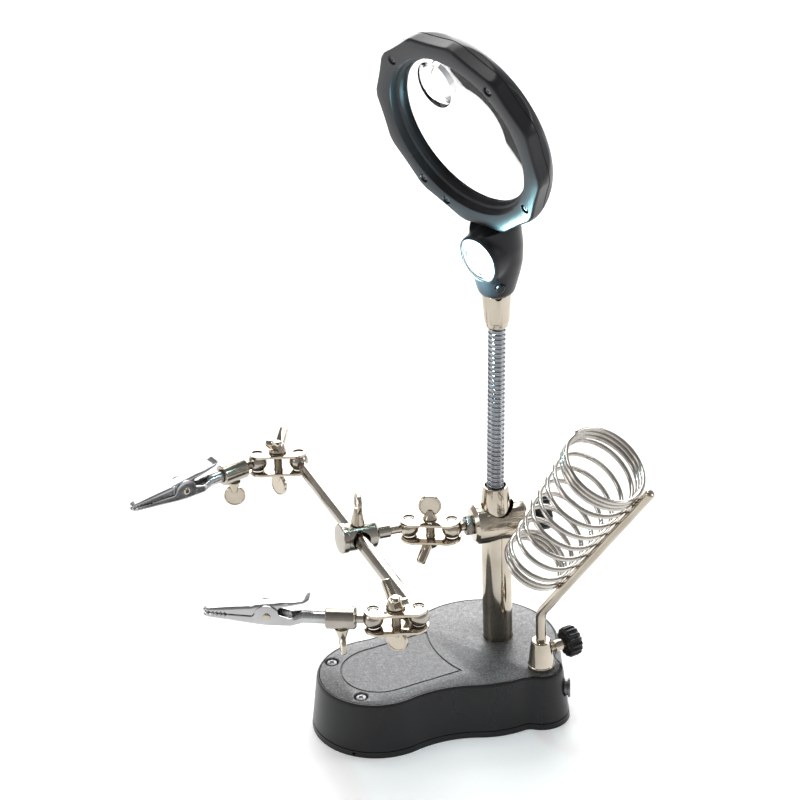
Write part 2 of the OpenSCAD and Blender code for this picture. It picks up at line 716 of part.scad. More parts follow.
module upper_jaw() color([0.74, 0.70, 0.64]) {
  cheek_w = jaw_w - 2 * sheet_t - 0.3;
  hollow_w = cheek_w - 1.2;
  difference() {
    intersection() {
      jaw_plan(-6, 12, 0);
      side_slab(20) union() {
        upper_side();
        // Thumb lever
        polygon([[-1, 3.4], [0, 4.8], [-14, 7.4], [-15.4, 8.3], [-16, 7.8], [-14.2, 6.6], [-4, 4.2]]);
      }
    }
    // Room for the lower jaw's lugs
    for (s = [-1, 1]) translate([0, s * (jaw_w / 2), 0])
      rotate([90, 0, 0]) cylinder(h = 2 * sheet_t + 0.4, r = lug_r + 0.25, center = true);
    // Folded sheet: open inside, below the top
    difference() {
      translate([0, 0, -4]) linear_extrude(7.2) polygon([
        [-20, -hollow_w / 2], [3, -hollow_w / 2], [clip_tip - 4, -tip_w / 2 + sheet_t],
        [clip_tip - 4, tip_w / 2 - sheet_t], [3, hollow_w / 2], [-20, hollow_w / 2]
      ]);
      translate([3, -10, 1]) cube([30, 20, 5]);
    }
    rotate([90, 0, 0]) cylinder(h = 20, r = pin_r + run, center = true);
    tooth_row(jaw_split, 6);
  }
  // Inner cheeks that ride on the pin, one each side of the spring
  for (s = [-1, 1]) translate([0, s * (cheek_w / 2 - 0.5), 0])
    rotate([90, 0, 0]) difference() {
      cylinder(h = 1, r = 2.3, center = true);
      cylinder(h = 2, r = pin_r + run, center = true);
    }
}
module clip_pin() color([0.62, 0.59, 0.55]) {
  rotate([90, 0, 0]) cylinder(h = jaw_w + 0.6, r = pin_r, center = true);
  for (s = [-1, 1]) translate([0, s * (jaw_w / 2 + 0.35), 0])
    rotate([90, 0, 0]) cylinder(h = 0.5, r = 1.5, center = true);
}
// Torsion spring on the pin, between the inner cheeks
module clip_spring() color([0.45, 0.45, 0.46]) {
  difference() {
    rotate([90, 0, 0]) cylinder(h = 2.4, r = 1.75, center = true);
    rotate([90, 0, 0]) cylinder(h = 3, r = 1.12, center = true);
  }
}
rear_pin_x = 36.4;
front_pin_x = 39.6;
module at_rear_pin() at_rear_clip() translate([rear_pin_x, 0, pin_z]) children();
module at_front_pin() at_front_clip() translate([front_pin_x, 0, pin_z]) children();
module rear_clip_lower_jaw() at_rear_pin() lower_jaw(27);
module rear_clip_upper_jaw() at_rear_pin() upper_jaw();
module rear_clip_pin() at_rear_pin() clip_pin();
module rear_clip_spring() at_rear_pin() clip_spring();
module front_clip_lower_jaw() at_front_pin() lower_jaw(30.2);
module front_clip_upper_jaw() at_front_pin() upper_jaw();
module front_clip_pin() at_front_pin() clip_pin();
module front_clip_spring() at_front_pin() clip_spring();

// ---- Iron rest ----
rod_r = rod_d / 2;
wire_r = wire_d / 2;
bend_z = 48;
rod_foot_z = 20;
rest_top_z = 35.5;
rest_screw_z = 30;
rest_screw_turn = 64.5;
coil_low = 15;
coil_top = 79;
low_turns = 2.5;
open_turns = 7;
top_turns = 3;
close_pitch = 2.05;
turn_steps = 18;
wire_sides = 8;

module rest_socket() color([0.74, 0.70, 0.64]) at_rest() difference() {
  union() {
    translate([0, 0, base_h]) cylinder(h = rest_top_z - base_h, r1 = 5.4, r2 = 3.8);
    translate([0, 0, 14]) cylinder(h = base_h - 14, r = 3);
  }
  translate([0, 0, rod_foot_z - 0.4]) cylinder(h = 30, r = rod_r + run);
  translate([0, 0, rest_screw_z]) rotate([0, 0, rest_screw_turn]) xrod(0, 12, 1.7 + run);
}
module rest_screw() color([0.74, 0.70, 0.64])
  at_rest(rest_screw_z) rotate([0, 0, rest_screw_turn]) {
    xrod(rod_r + 0.05, 14.7, 1.7);
    xrod(6, 10.8, 2.3);
  }
module rest_knob() color([0.06, 0.06, 0.07])
  at_rest(rest_screw_z) rotate([0, 0, rest_screw_turn]) fluted_knob(10.85, 6.2, 5.6, 1.72);
// The rod's bend is mitred over a ball a hair wider than the rod
module rest_rod() color([0.74, 0.70, 0.64]) {
  at_rest() translate([0, 0, rod_foot_z]) cylinder(h = bend_z - rod_foot_z, r = rod_r);
  at_rest(bend_z) {
    sphere(r = rod_r + 0.02);
    rotate([0, 90 - rod_rise, 0]) cylinder(h = rod_len, r = rod_r);
  }
}
// Distance of the coil's centre line along the rod, after n turns from its lower end
function coil_s(n) =
  n < low_turns ? coil_low + n * close_pitch :
  n < low_turns + open_turns ?
    coil_low + low_turns * close_pitch + (n - low_turns) * open_pitch :
    coil_top - (coil_turns - n) * close_pitch;
coil_turns = low_turns + open_turns + top_turns;
open_pitch = (coil_top - coil_low - (low_turns + top_turns) * close_pitch) / open_turns;
function coil_r(n) =
  coil_low_r + (coil_top_r - coil_low_r) * (coil_s(n) - coil_low) / (coil_top - coil_low);
// A point on the wire's centre line: x is up and away from the rod, z along it
function coil_point(n) =
  let (r = coil_r(n), a = 360 * n + 180)
    [rod_r + wire_r + r + r * cos(a), r * sin(a), coil_s(n)];
// Ring of points round the wire at turn n
function wire_ring(n) =
  let (
    a = 360 * n + 180,
    out = [cos(a), sin(a), 0],
    p = coil_point(n)
  )
  [for (k = [0:wire_sides - 1])
    p + wire_r * (cos(360 * k / wire_sides) * out + sin(360 * k / wire_sides) * [0, 0, 1])];
module rest_coil() color([0.76, 0.73, 0.68]) {
  rings = ceil(coil_turns * turn_steps);
  points = [for (i = [0:rings]) each wire_ring(i * coil_turns / rings)];
  sides = [for (i = [0:rings - 1], k = [0:wire_sides - 1])
    let (a = i * wire_sides + k, b = i * wire_sides + (k + 1) % wire_sides)
      [a, b, b + wire_sides, a + wire_sides]];
  first_end = [for (k = [wire_sides - 1:-1:0]) k];
  last_end = [for (k = [0:wire_sides - 1]) rings * wire_sides + k];
  at_rest(bend_z) rotate([0, 90 - rod_rise, 0]) rotate([0, 0, 180])
    polyhedron(points, concat(sides, [first_end, last_end]), convexity = 12);
}

base_housing();
base_top_plate();
plate_screws();
base_bottom_cover();
battery_door();
battery_cells();
ballast_weight();
power_socket();
post();
gooseneck_lower();
gooseneck_middle();
gooseneck_upper();
neck_ferrule();
magnifier_rear_frame();
magnifier_front_bezel();
bezel_screws();
main_lens();
insert_lens();
lamp_window();
lamp_board();
light_button();
post_clamp_body();
post_clamp_screw();
post_clamp_knob();
post_clamp_stud();
post_clamp_nut();
post_link_upper_plate();
post_link_lower_plate();
post_link_screw();
post_link_wing_nut();
bar_clamp_body();
bar_clamp_stud();
bar_clamp_screw();
cross_bar();
rear_link_upper_plate();
rear_link_lower_plate();
rear_link_screw();
rear_link_wing_nut();
rear_clip_holder();
rear_holder_screw();
rear_clip_lower_jaw();
rear_clip_upper_jaw();
rear_clip_pin();
rear_clip_spring();
front_link_upper_plate();
front_link_lower_plate();
front_link_screw();
front_link_wing_nut();
front_clip_holder();
front_holder_screw();
front_clip_lower_jaw();
front_clip_upper_jaw();
front_clip_pin();
front_clip_spring();
rest_socket();
rest_screw();
rest_knob();
rest_rod();
rest_coil();
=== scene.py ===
# Helping hands clamp: the visual model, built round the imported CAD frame.
# Shapes are laid out in millimetres in the part's own frames, and stored in metres in the
# shared frame.
import json
import math
from math import cos, pi, radians, sin, sqrt

import bmesh
import bpy
from mathutils import Matrix, Vector


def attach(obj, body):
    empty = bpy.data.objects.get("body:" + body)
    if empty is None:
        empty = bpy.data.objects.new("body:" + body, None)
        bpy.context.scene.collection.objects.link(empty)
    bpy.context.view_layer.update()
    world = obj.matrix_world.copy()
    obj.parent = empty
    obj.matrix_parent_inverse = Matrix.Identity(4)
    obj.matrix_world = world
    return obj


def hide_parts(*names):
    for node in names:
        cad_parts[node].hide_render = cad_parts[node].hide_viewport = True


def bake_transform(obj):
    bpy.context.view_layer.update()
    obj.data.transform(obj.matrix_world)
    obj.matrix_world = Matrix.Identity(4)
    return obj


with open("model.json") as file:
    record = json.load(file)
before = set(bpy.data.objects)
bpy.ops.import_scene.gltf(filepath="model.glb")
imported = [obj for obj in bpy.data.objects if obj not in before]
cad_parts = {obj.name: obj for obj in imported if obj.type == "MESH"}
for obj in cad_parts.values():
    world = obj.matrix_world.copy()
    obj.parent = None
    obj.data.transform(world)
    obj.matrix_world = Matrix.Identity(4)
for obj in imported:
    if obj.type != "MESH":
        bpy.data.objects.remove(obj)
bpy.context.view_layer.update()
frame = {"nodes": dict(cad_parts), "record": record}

MM = 0.001
JOINTS = {j["name"]: j for j in frame["record"]["behaviour"]["joints"]}
NODE_BODY = {
    node: body
    for body, nodes in frame["record"]["behaviour"]["bodies"].items()
    for node in nodes
}
CREASE = 32


# ---- frames
def shift(x, y, z):
    return Matrix.Translation((x, y, z))


def turn(axis, degrees):
    return Matrix.Rotation(radians(degrees), 4, axis)


def joint_pos(name):
    return Vector(JOINTS[name]["pos_m"]) / MM


def joint_axis(name):
    return Vector(JOINTS[name]["axis"]).normalized()


def upright(name):
    """A joint's axis, pointing upwards whichever way the joint counts."""
    axis = joint_axis(name)
    return axis if axis.z > 0 else -axis


def axes(origin, x, z):
    """Frame at origin, in mm, with +X along x and +Z as near z as it can be."""
    x = Vector(x).normalized()
    y = Vector(z).cross(x).normalized()
    z = x.cross(y)
    m = Matrix((x, y, z)).transposed().to_4x4()
    m.translation = origin
    return m


UP = Vector((0, 0, 1))
WORLD = Matrix.Identity(4)
# Sizes that part.scad drives, repeated here in mm and degrees
BASE_H, PLATE_T, COVER_T, WALL_T, FLARE = 23.0, 1.2, 2.4, 2.4, 2.7
BIG_LOBE, BIG_R = Vector((-8.6, -0.95)), 31.8
END_LOBE, END_R = Vector((-54.6, -0.95)), 24.0
REST_LOBE, REST_R = Vector((4.5, -28.5)), 8.7
WAIST_R, REST_FILLET = 43.4, 8.0
POST_TOP = 93.0
NECK_BASE = shift(0, 0, POST_TOP) @ turn("Z", -25.8) @ turn("Y", 1.32)
NECK_LEN, NECK_R, NECK_PITCH = 70.0, 3.5, 1.95
HEAD_X, HEAD_Y, HEAD_TURN, HEAD_TILT = 1.45, -0.7, 17.6, -15.6
HEAD = shift(HEAD_X, HEAD_Y, 0)
HOUSING = HEAD @ turn("Z", HEAD_TURN)
RING = (
    shift(HEAD_X, HEAD_Y, 205) @ turn("Z", HEAD_TURN) @ turn("Y", HEAD_TILT)
    @ turn("X", -3.5) @ shift(0, 0, 42.3)
)
WINDOW = HOUSING @ shift(0, 0, 195) @ turn("Y", -10)
BUTTON = HOUSING @ shift(0, 0, 184.6) @ turn("Z", 235) @ turn("Y", 14)
SOCKET = shift(REST_LOBE.x, REST_LOBE.y, 13) @ turn("Z", -30) @ shift(REST_R, 0, 0)
REST = shift(REST_LOBE.x, REST_LOBE.y, 0) @ turn("Z", -60.5)
REST_ROD = REST @ shift(0, 0, 48) @ turn("Y", 35)
BALL_R, BALL_GAP = 4.0, 17.0

CLAMP = axes(joint_pos("post_clamp_knob_turn"), joint_axis("post_clamp_knob_turn"), UP)
POST_LINK = axes(
    joint_pos("post_link_swing"), joint_pos("bar_clamp_swing") - joint_pos("post_link_swing"),
    upright("post_link_swing"),
)
BAR_CLAMP = axes(
    joint_pos("bar_clamp_swing"), joint_pos("bar_clamp_screw_turn") - joint_pos("bar_clamp_swing"),
    joint_axis("bar_clamp_screw_turn"),
)
BAR = axes(
    joint_pos("bar_clamp_screw_turn"), joint_pos("front_link_swing") - joint_pos("rear_link_swing"),
    UP,
)
LINKS, HOLDERS, CLIPS = {}, {}, {}
for end in ("rear", "front"):
    ball, far = joint_pos(f"{end}_link_swing"), joint_pos(f"{end}_holder_swing")
    outwards = joint_pos(f"{end}_holder_screw_turn") - far
    LINKS[end] = axes(ball, far - ball, upright(f"{end}_link_swing"))
    HOLDERS[end] = axes(far, outwards, UP)
    CLIPS[end] = axes(joint_pos(f"{end}_clip_open"), outwards, UP)


# ---- mesh tools
def put(name, data):
    """Object in the scene that holds the data."""
    obj = bpy.data.objects.new(name, data)
    bpy.context.scene.collection.objects.link(obj)
    return obj


def about_x(x, r, angle):
    """Point at radius r from the X axis, its angle in radians from +Z towards +Y."""
    return x, r * sin(angle), r * cos(angle)


def raw(name, verts, faces, matrix=WORLD):
    """Mesh object from points in mm in a part frame, stored in metres in the shared frame."""
    mesh = bpy.data.meshes.new(name)
    mesh.from_pydata([matrix @ Vector(v) * MM for v in verts], [], faces)
    bm = bmesh.new()
    bm.from_mesh(mesh)
    bmesh.ops.remove_doubles(bm, verts=bm.verts, dist=1e-7)
    bmesh.ops.recalc_face_normals(bm, faces=bm.faces)
    bm.to_mesh(mesh)
    bm.free()
    return put(name, mesh)


def apply_modifiers(obj):
    bpy.context.view_layer.update()
    mesh = bpy.data.meshes.new_from_object(obj.evaluated_get(bpy.context.evaluated_depsgraph_get()))
    old, obj.data = obj.data, mesh
    obj.modifiers.clear()
    bpy.data.meshes.remove(old)
    return obj


def combine(obj, others, operation="DIFFERENCE"):
    for other in others:
        mod = obj.modifiers.new("b", "BOOLEAN")
        mod.operation, mod.solver, mod.object = operation, "EXACT", other
        apply_modifiers(obj)
        mesh = other.data
        bpy.data.objects.remove(other)
        bpy.data.meshes.remove(mesh)
    return obj


def soften(obj, width, segments=2, angle=38):
    """Rounds the sharp edges, so that they catch the light."""
    mod = obj.modifiers.new("bevel", "BEVEL")
    mod.width, mod.segments = width * MM, segments
    mod.limit_method, mod.angle_limit = "ANGLE", radians(angle)
    mod.use_clamp_overlap = True
    mod.miter_outer = "MITER_ARC"
    return apply_modifiers(obj)


def finish(obj, node, material, crease=CREASE):
    """Gives a piece its material and shading, attaches it to its body, and hides the CAD node it
    stands for.
    """
    obj.data.materials.clear()
    obj.data.materials.append(material)
    obj.data.shade_smooth()
    obj.data.set_sharp_from_angle(angle=radians(crease))
    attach(obj, NODE_BODY[node])
    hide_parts(node)
    return obj


def fillet(points, radius, steps=4, closed=False):
    """Rounds the corners of a 2D line."""
    out, n = [], len(points)
    for i, p in enumerate(points):
        if not closed and i in (0, n - 1):
            out.append(tuple(p))
            continue
        p = Vector(p)
        a, b = Vector(points[i - 1]) - p, Vector(points[(i + 1) % n]) - p
        bend = pi - a.angle(b, 0) if a.length and b.length else 0
        if bend < radians(12):
            out.append(tuple(p))
            continue
        cut = min(radius * math.tan(bend / 2), 0.45 * a.length, 0.45 * b.length)
        s, e = p + a.normalized() * cut, p + b.normalized() * cut
        for k in range(steps + 1):
            t = k / steps
            out.append(tuple(s * (1 - t) ** 2 + p * 2 * t * (1 - t) + e * t * t))
    return out


def lathe(name, profile, matrix=WORLD, segments=72, soft=0.25, closed=False):
    """Turned shape about the frame's X axis from a line of (x, radius). closed makes a ring."""
    line = fillet(profile, soft, closed=closed)
    verts, faces, rows = [], [], []
    for x, r in line:
        if r < 1e-6:
            rows.append([len(verts)])
            verts.append((x, 0, 0))
            continue
        rows.append(list(range(len(verts), len(verts) + segments)))
        verts += [about_x(x, r, 2 * pi * k / segments) for k in range(segments)]
    pairs = list(zip(rows, rows[1:])) + ([(rows[-1], rows[0])] if closed else [])
    for a, b in pairs:
        for k in range(segments):
            k2 = (k + 1) % segments
            if len(a) == 1 and len(b) > 1:
                faces.append((a[0], b[k], b[k2]))
            elif len(b) == 1 and len(a) > 1:
                faces.append((a[k], b[0], a[k2]))
            elif len(a) > 1:
                faces.append((a[k], b[k], b[k2], a[k2]))
    return raw(name, verts, faces, matrix)


def rod(name, x0, x1, r, matrix=WORLD, soft=0.2, segments=48):
    return lathe(name, [(x0, 0), (x0, r), (x1, r), (x1, 0)], matrix, segments, soft)


def prism(name, outline, z0, z1, matrix=WORLD):
    """Flat outline in X and Y, raised from z0 to z1."""
    n = len(outline)
    verts = [(x, y, z) for z in (z0, z1) for x, y in outline]
    faces = [tuple(range(n)), tuple(range(2 * n - 1, n - 1, -1))]
    faces += [(i, (i + 1) % n, n + (i + 1) % n, n + i) for i in range(n)]
    return raw(name, verts, faces, matrix)


def loft(name, rings, matrix=WORLD, closed=False):
    """Skin over rings of equally many points, with capped ends unless it is closed."""
    n, verts, faces = len(rings[0]), [p for ring in rings for p in ring], []
    count = len(rings)
    for i in range(count if closed else count - 1):
        a, b = i * n, ((i + 1) % count) * n
        faces += [(a + k, a + (k + 1) % n, b + (k + 1) % n, b + k) for k in range(n)]
    if not closed:
        faces += [tuple(range(n)), tuple(range((count - 1) * n, count * n))]
    return raw(name, verts, faces, matrix)


def sweep(name, path, radius, sides=16, matrix=WORLD, radii=None):
    """Round wire along a line of points, capped at both ends, its radius set per point when radii
    are given.
    """
    pts = [Vector(p) for p in path]
    radii = radii or [radius] * len(pts)
    rings, side = [], None
    for i, p in enumerate(pts):
        along = (pts[min(i + 1, len(pts) - 1)] - pts[max(i - 1, 0)]).normalized()
        if side is None:
            side = along.orthogonal().normalized()
        side = (side - along * side.dot(along)).normalized()
        other = along.cross(side)
        r, angles = radii[i], [2 * pi * k / sides for k in range(sides)]
        rings.append([tuple(p + side * r * cos(a) + other * r * sin(a)) for a in angles])
    return loft(name, rings, matrix)


def end_rounded(path, radius):
    """Adds close, narrowing points at both ends of a wire, so that it ends in a dome."""
    pts = [Vector(p) for p in path]
    first, last = (pts[1] - pts[0]).normalized(), (pts[-1] - pts[-2]).normalized()
    steps = (0.0, 0.25, 0.5, 0.75, 0.95)
    head = [pts[0] + first * radius * (1 - t) for t in reversed(steps)]
    tail = [pts[-1] - last * radius * (1 - t) for t in steps]
    inner = [p for p in pts[1:-1] if min((p - pts[0]).length, (p - pts[-1]).length) > radius]
    size = [radius * sqrt(max(1 - t * t, 0.02)) for t in steps]
    return head + inner + tail, list(reversed(size)) + [radius] * len(inner) + size


def helix_rod(name, x0, x1, shape, pitch, matrix, segments, rows):
    """Wound or threaded bar along X: shape gives the radius at a phase of the pitch."""
    count = max(int((x1 - x0) / pitch * rows), 2)
    rings = []
    for i in range(count + 1):
        x = x0 + (x1 - x0) * i / count
        ring = []
        for k in range(segments):
            r = shape((x / pitch - k / segments) % 1)
            ring.append(about_x(x, r, 2 * pi * k / segments))
        rings.append(ring)
    return loft(name, rings, matrix)


def arc(cx, cy, r, a0, a1, n):
    """Points of an arc about (cx, cy), from a0 to a1 degrees."""
    angles = [radians(a0 + (a1 - a0) * i / n) for i in range(n + 1)]
    return [(cx + r * cos(a), cy + r * sin(a)) for a in angles]


# ---- materials
class Nodes:
    """A material's node tree, with short calls for the nodes that the materials here share."""

    def __init__(self, name):
        self.mat = bpy.data.materials.new(name)
        self.mat.use_nodes = True
        self.tree = self.mat.node_tree
        self.shader = next(n for n in self.tree.nodes if n.type == "BSDF_PRINCIPLED")
        self.place = self.add("ShaderNodeTexCoord").outputs["Object"]

    def add(self, kind, **props):
        n = self.tree.nodes.new(kind)
        for key, value in props.items():
            setattr(n, key, value)
        return n

    def link(self, out, into):
        self.tree.links.new(out, into)

    def feed(self, **outputs):
        """Links outputs to the shader's inputs of those names."""
        for key, out in outputs.items():
            self.link(out, self.shader.inputs[key.replace("_", " ")])

    def set(self, **values):
        for key, value in values.items():
            self.shader.inputs[key.replace("_", " ")].default_value = value

    def noise(self, scale, detail=2.0, rough=0.5):
        n = self.add("ShaderNodeTexNoise")
        n.inputs["Scale"].default_value = scale
        n.inputs["Detail"].default_value = detail
        n.inputs["Roughness"].default_value = rough
        self.link(self.place, n.inputs["Vector"])
        return n.outputs["Fac"]

    def ramp(self, value, *stops):
        n = self.add("ShaderNodeValToRGB")
        marks = n.color_ramp.elements
        while len(marks) < len(stops):
            marks.new(0.5)
        for mark, (at, colour) in zip(marks, stops):
            mark.position, mark.color = at, (*colour, 1)
        self.link(value, n.inputs["Fac"])
        return n.outputs["Color"]

    def spread(self, value, low, high, start=0.3, end=0.7):
        n = self.add("ShaderNodeMapRange")
        limits = {"From Min": start, "From Max": end, "To Min": low, "To Max": high}
        for key, limit in limits.items():
            n.inputs[key].default_value = limit
        self.link(value, n.inputs["Value"])
        return n.outputs["Result"]

    def bump(self, value, strength, distance, after=None):
        n = self.add("ShaderNodeBump")
        n.inputs["Strength"].default_value = strength
        n.inputs["Distance"].default_value = distance
        self.link(value, n.inputs["Height"])
        if after:
            self.link(after, n.inputs["Normal"])
        return n.outputs["Normal"]

    def math(self, operation, a, b):
        n = self.add("ShaderNodeMath", operation=operation)
        for socket, v in zip(n.inputs, (a, b)):
            if isinstance(v, (int, float)):
                socket.default_value = v
            else:
                self.link(v, socket)
        return n.outputs[0]


def metal(name, light, dark, rough):
    """Plated or bare metal: a slightly uneven colour, cloudy polish and fine rubbing marks."""
    m = Nodes(name)
    m.set(Metallic=1.0)
    cloud = m.noise(70, 3)
    m.feed(Base_Color=m.ramp(cloud, (0.3, dark), (0.62, light)))
    marks = m.noise(900, 4, 0.6)
    polish = m.math(
        "MULTIPLY", m.spread(cloud, 0.8, 1.25), m.spread(marks, rough * 0.8, rough * 1.4),
    )
    m.feed(Roughness=polish)
    waves = m.bump(m.noise(260, 1), 0.08, 0.0002)
    m.feed(Normal=m.bump(marks, 0.048, 0.00003, waves))
    return m.mat


def plastic(name, dark, light, rough, grain=2600, depth=0.00003):
    """Moulded plastic: a fine grain, a faint mottle and patches polished by handling."""
    m = Nodes(name)
    m.set(Specular_IOR_Level=0.32)
    mottle = m.noise(45, 4)
    m.feed(Base_Color=m.ramp(mottle, (0.3, dark), (0.7, light)))
    m.feed(Roughness=m.spread(m.noise(28, 3), rough * 0.85, rough * 1.2))
    m.feed(Normal=m.bump(m.noise(grain, 2), 0.35, depth))
    return m.mat


def grained_paint():
    """Dark grey textured paint on the base's plate, with small bright specks in its grain."""
    m = Nodes("grained_paint")
    grain = m.noise(1500, 2, 0.55)
    lumps = m.noise(520, 3, 0.6)
    tone = m.ramp(
        grain, (0.36, (0.035, 0.035, 0.037)), (0.56, (0.075, 0.075, 0.078)),
        (0.72, (0.16, 0.16, 0.165)),
    )
    m.feed(Base_Color=tone)
    m.feed(Roughness=m.spread(lumps, 0.34, 0.52))
    coarse = m.bump(lumps, 0.5, 0.00012)
    m.feed(Normal=m.bump(grain, 0.7, 0.0001, coarse))
    return m.mat


def cast_iron():
    """Rough cast surface of the hidden weight."""
    m = Nodes("cast_weight")
    m.set(Metallic=0.7)
    pits = m.noise(420, 5, 0.7)
    m.feed(Base_Color=m.ramp(pits, (0.3, (0.05, 0.045, 0.04)), (0.7, (0.14, 0.13, 0.12))))
    m.feed(Roughness=m.spread(pits, 0.5, 0.8))
    m.feed(Normal=m.bump(pits, 0.8, 0.0004))
    return m.mat


def cell_case():
    """Bright steel battery cells with a coloured sleeve that leaves the ends bare."""
    m = Nodes("cell_case")
    m.set(Metallic=0.6)
    axis = m.add("ShaderNodeSeparateXYZ")
    m.link(m.place, axis.inputs[0])
    sleeve = m.spread(axis.outputs["X"], 0, 1, -0.0302, -0.0298)
    m.feed(Base_Color=m.ramp(sleeve, (0.45, (0.02, 0.06, 0.12)), (0.55, (0.7, 0.7, 0.7))))
    m.feed(Roughness=m.spread(m.noise(60), 0.25, 0.4))
    m.feed(Normal=m.bump(m.noise(500), 0.1, 0.0001))
    return m.mat


def glass(name, tint, rough=0.0):
    """Clear plastic with a faint tint and a few smears."""
    m = Nodes(name)
    m.set(Transmission_Weight=1.0, IOR=1.49)
    smear = m.noise(60, 4, 0.6)
    m.feed(Base_Color=m.ramp(smear, (0.3, tint), (0.7, (1, 1, 1))))
    m.feed(Roughness=m.spread(smear, rough, rough + 0.025, 0.45, 0.75))
    m.feed(Normal=m.bump(m.noise(120, 1), 0.03, 0.0001))
    return m.mat


def glow(name, middle, colour, strength, reach):
    """Light-giving plastic, brightest at its middle and bluer towards its edge. On the LEDs it is
    the lamp's own light; on the lamp dish, which is no lamp, it is a painted glow standing in for
    the LEDs' light falling on the dish.
    """
    m = Nodes(name)
    away = m.add("ShaderNodeVectorMath", operation="DISTANCE")
    m.link(m.place, away.inputs[0])
    away.inputs[1].default_value = middle * MM
    near = m.spread(away.outputs["Value"], 1, 0, 0, reach * MM)
    m.feed(Emission_Color=m.ramp(near, (0.0, colour), (0.75, (1, 1, 1))))
    m.feed(Emission_Strength=m.math("MULTIPLY", m.math("POWER", near, 1.5), strength))
    m.feed(Base_Color=m.ramp(m.noise(300), (0.3, (0.75, 0.8, 0.82)), (0.7, (0.9, 0.93, 0.95))))
    m.feed(Roughness=m.spread(m.noise(80), 0.15, 0.3))
    return m.mat


NICKEL = metal("nickel_plate", (0.54, 0.48, 0.40), (0.42, 0.365, 0.295), 0.10)
BARREL = metal("nickel_barrel", (0.42, 0.385, 0.34), (0.33, 0.30, 0.26), 0.14)
COIL = metal("coil_wire", (0.60, 0.57, 0.53), (0.46, 0.43, 0.395), 0.15)
HOSE = metal("chrome_hose", (0.42, 0.435, 0.46), (0.29, 0.30, 0.33), 0.14)
JAW = metal("clip_steel", (0.50, 0.50, 0.505), (0.38, 0.37, 0.37), 0.18)
DARK_STEEL = metal("dark_steel", (0.26, 0.235, 0.21), (0.14, 0.125, 0.11), 0.3)
BLACK_STEEL = metal("black_steel", (0.20, 0.20, 0.21), (0.10, 0.10, 0.11), 0.33)
SPRING = metal("spring_steel", (0.5, 0.5, 0.5), (0.36, 0.36, 0.37), 0.3)
SHELL = plastic("black_shell", (0.006, 0.006, 0.007), (0.011, 0.011, 0.012), 0.27, 2200, 0.00002)
SATIN = plastic("satin_black", (0.010, 0.0105, 0.0125), (0.018, 0.019, 0.022), 0.30)
KNOB = plastic("knob_black", (0.006, 0.006, 0.007), (0.012, 0.012, 0.013), 0.25, 3000, 0.00002)
PAINT = grained_paint()
IRON = cast_iron()
CELLS = cell_case()
LENS = glass("lens_glass", (0.965, 0.985, 0.985))
COVER = glass("lamp_cover", (0.90, 0.97, 1.0), 0.02)


# ---- base
def tangent_arcs():
    """The base's outline, anticlockwise: (centre, radius, first angle, last angle, sign)."""

    def web_centres(c1, r1, c2, r2, r):
        d = (c2 - c1).length
        u = (c2 - c1) / d
        v = Vector((-u.y, u.x))
        along = ((r1 + r) ** 2 - (r2 + r) ** 2 + d**2) / (2 * d)
        off = sqrt((r1 + r) ** 2 - along**2)
        return c1 + u * along + v * off, c1 + u * along - v * off

    def angle(a, b):
        return math.degrees(math.atan2(b.y - a.y, b.x - a.x))

    below, above = web_centres(BIG_LOBE, BIG_R, END_LOBE, END_R, WAIST_R)
    if below.y > above.y:
        below, above = above, below
    right, left = web_centres(BIG_LOBE, BIG_R, REST_LOBE, REST_R, REST_FILLET)
    if right.x < left.x:
        right, left = left, right
    stops = [
        (END_LOBE, END_R, above, below, 1), (below, WAIST_R, END_LOBE, BIG_LOBE, -1),
        (BIG_LOBE, BIG_R, below, left, 1), (left, REST_FILLET, BIG_LOBE, REST_LOBE, -1),
        (REST_LOBE, REST_R, left, right, 1), (right, REST_FILLET, REST_LOBE, BIG_LOBE, -1),
        (BIG_LOBE, BIG_R, right, above, 1), (above, WAIST_R, BIG_LOBE, END_LOBE, -1),
    ]
    arcs = []
    for centre, radius, start, end, sign in stops:
        a, b = angle(centre, start), angle(centre, end)
        sweep_by = (b - a) % 360 if sign > 0 else -((a - b) % 360)
        arcs.append((centre, radius, a, a + sweep_by, sign))
    return arcs


BASE_ARCS = tangent_arcs()


def base_ring(grow, z):
    """Points of the base's outline, moved outwards by grow."""
    ring, step = [], 2.5
    for centre, radius, a, b, sign in BASE_ARCS:
        n = max(int(abs(b - a) * radius / 57.3 / step), 4)
        ring += [(x, y, z) for x, y in arc(centre.x, centre.y, radius + sign * grow, a, b, n)[:-1]]
    return ring


def wall_grow(z):
    return FLARE * (1 - z / BASE_H)


def base_housing():
    rim, lip = BASE_H, BASE_H - PLATE_T
    section = [
        (COVER_T + 0.02, wall_grow(COVER_T) - 0.35), (COVER_T + 0.35, wall_grow(COVER_T) - 0.05),
    ]
    section += [(z, wall_grow(z)) for z in (3.5, 6, 10, 14, 18, 20.6, 21.6)]
    section += [(rim - 0.75, -0.02), (rim - 0.3, -0.22), (rim - 0.05, -0.55), (rim - 0.05, -0.85)]
    section += [
        (rim - 0.35, -1.0), (lip, -1.0), (lip - 0.8, -WALL_T),
        (COVER_T + 0.02, wall_grow(COVER_T) - WALL_T),
    ]
    obj = loft("housing", [base_ring(g, z) for z, g in section], closed=True)
    combine(obj, [rod("cut", -3, 4, 3.25, SOCKET)])
    return finish(obj, "base_housing", SHELL, 28)


def inlay_line(inset):
    """Closed line pressed into the plate: round at its left end, hollow at its right end."""
    r, hollow = 16 - inset, 43 + inset
    corner = 68.6 - sqrt(hollow**2 - r**2)
    half = math.degrees(math.asin(r / hollow))
    line = arc(0, 0, r, 90, 270, 40)
    line += [(corner * t, -r) for t in (0.35, 0.7)]
    line += arc(68.6, 0, hollow, 180 + half, 180 - half, 24)
    line += [(corner * t, r) for t in (0.7, 0.35)]
    return fillet(line, 2.5, 5, closed=True)


SCREW_PLACES = [(-67.6, 13.8), (-67.6, -13.8)]


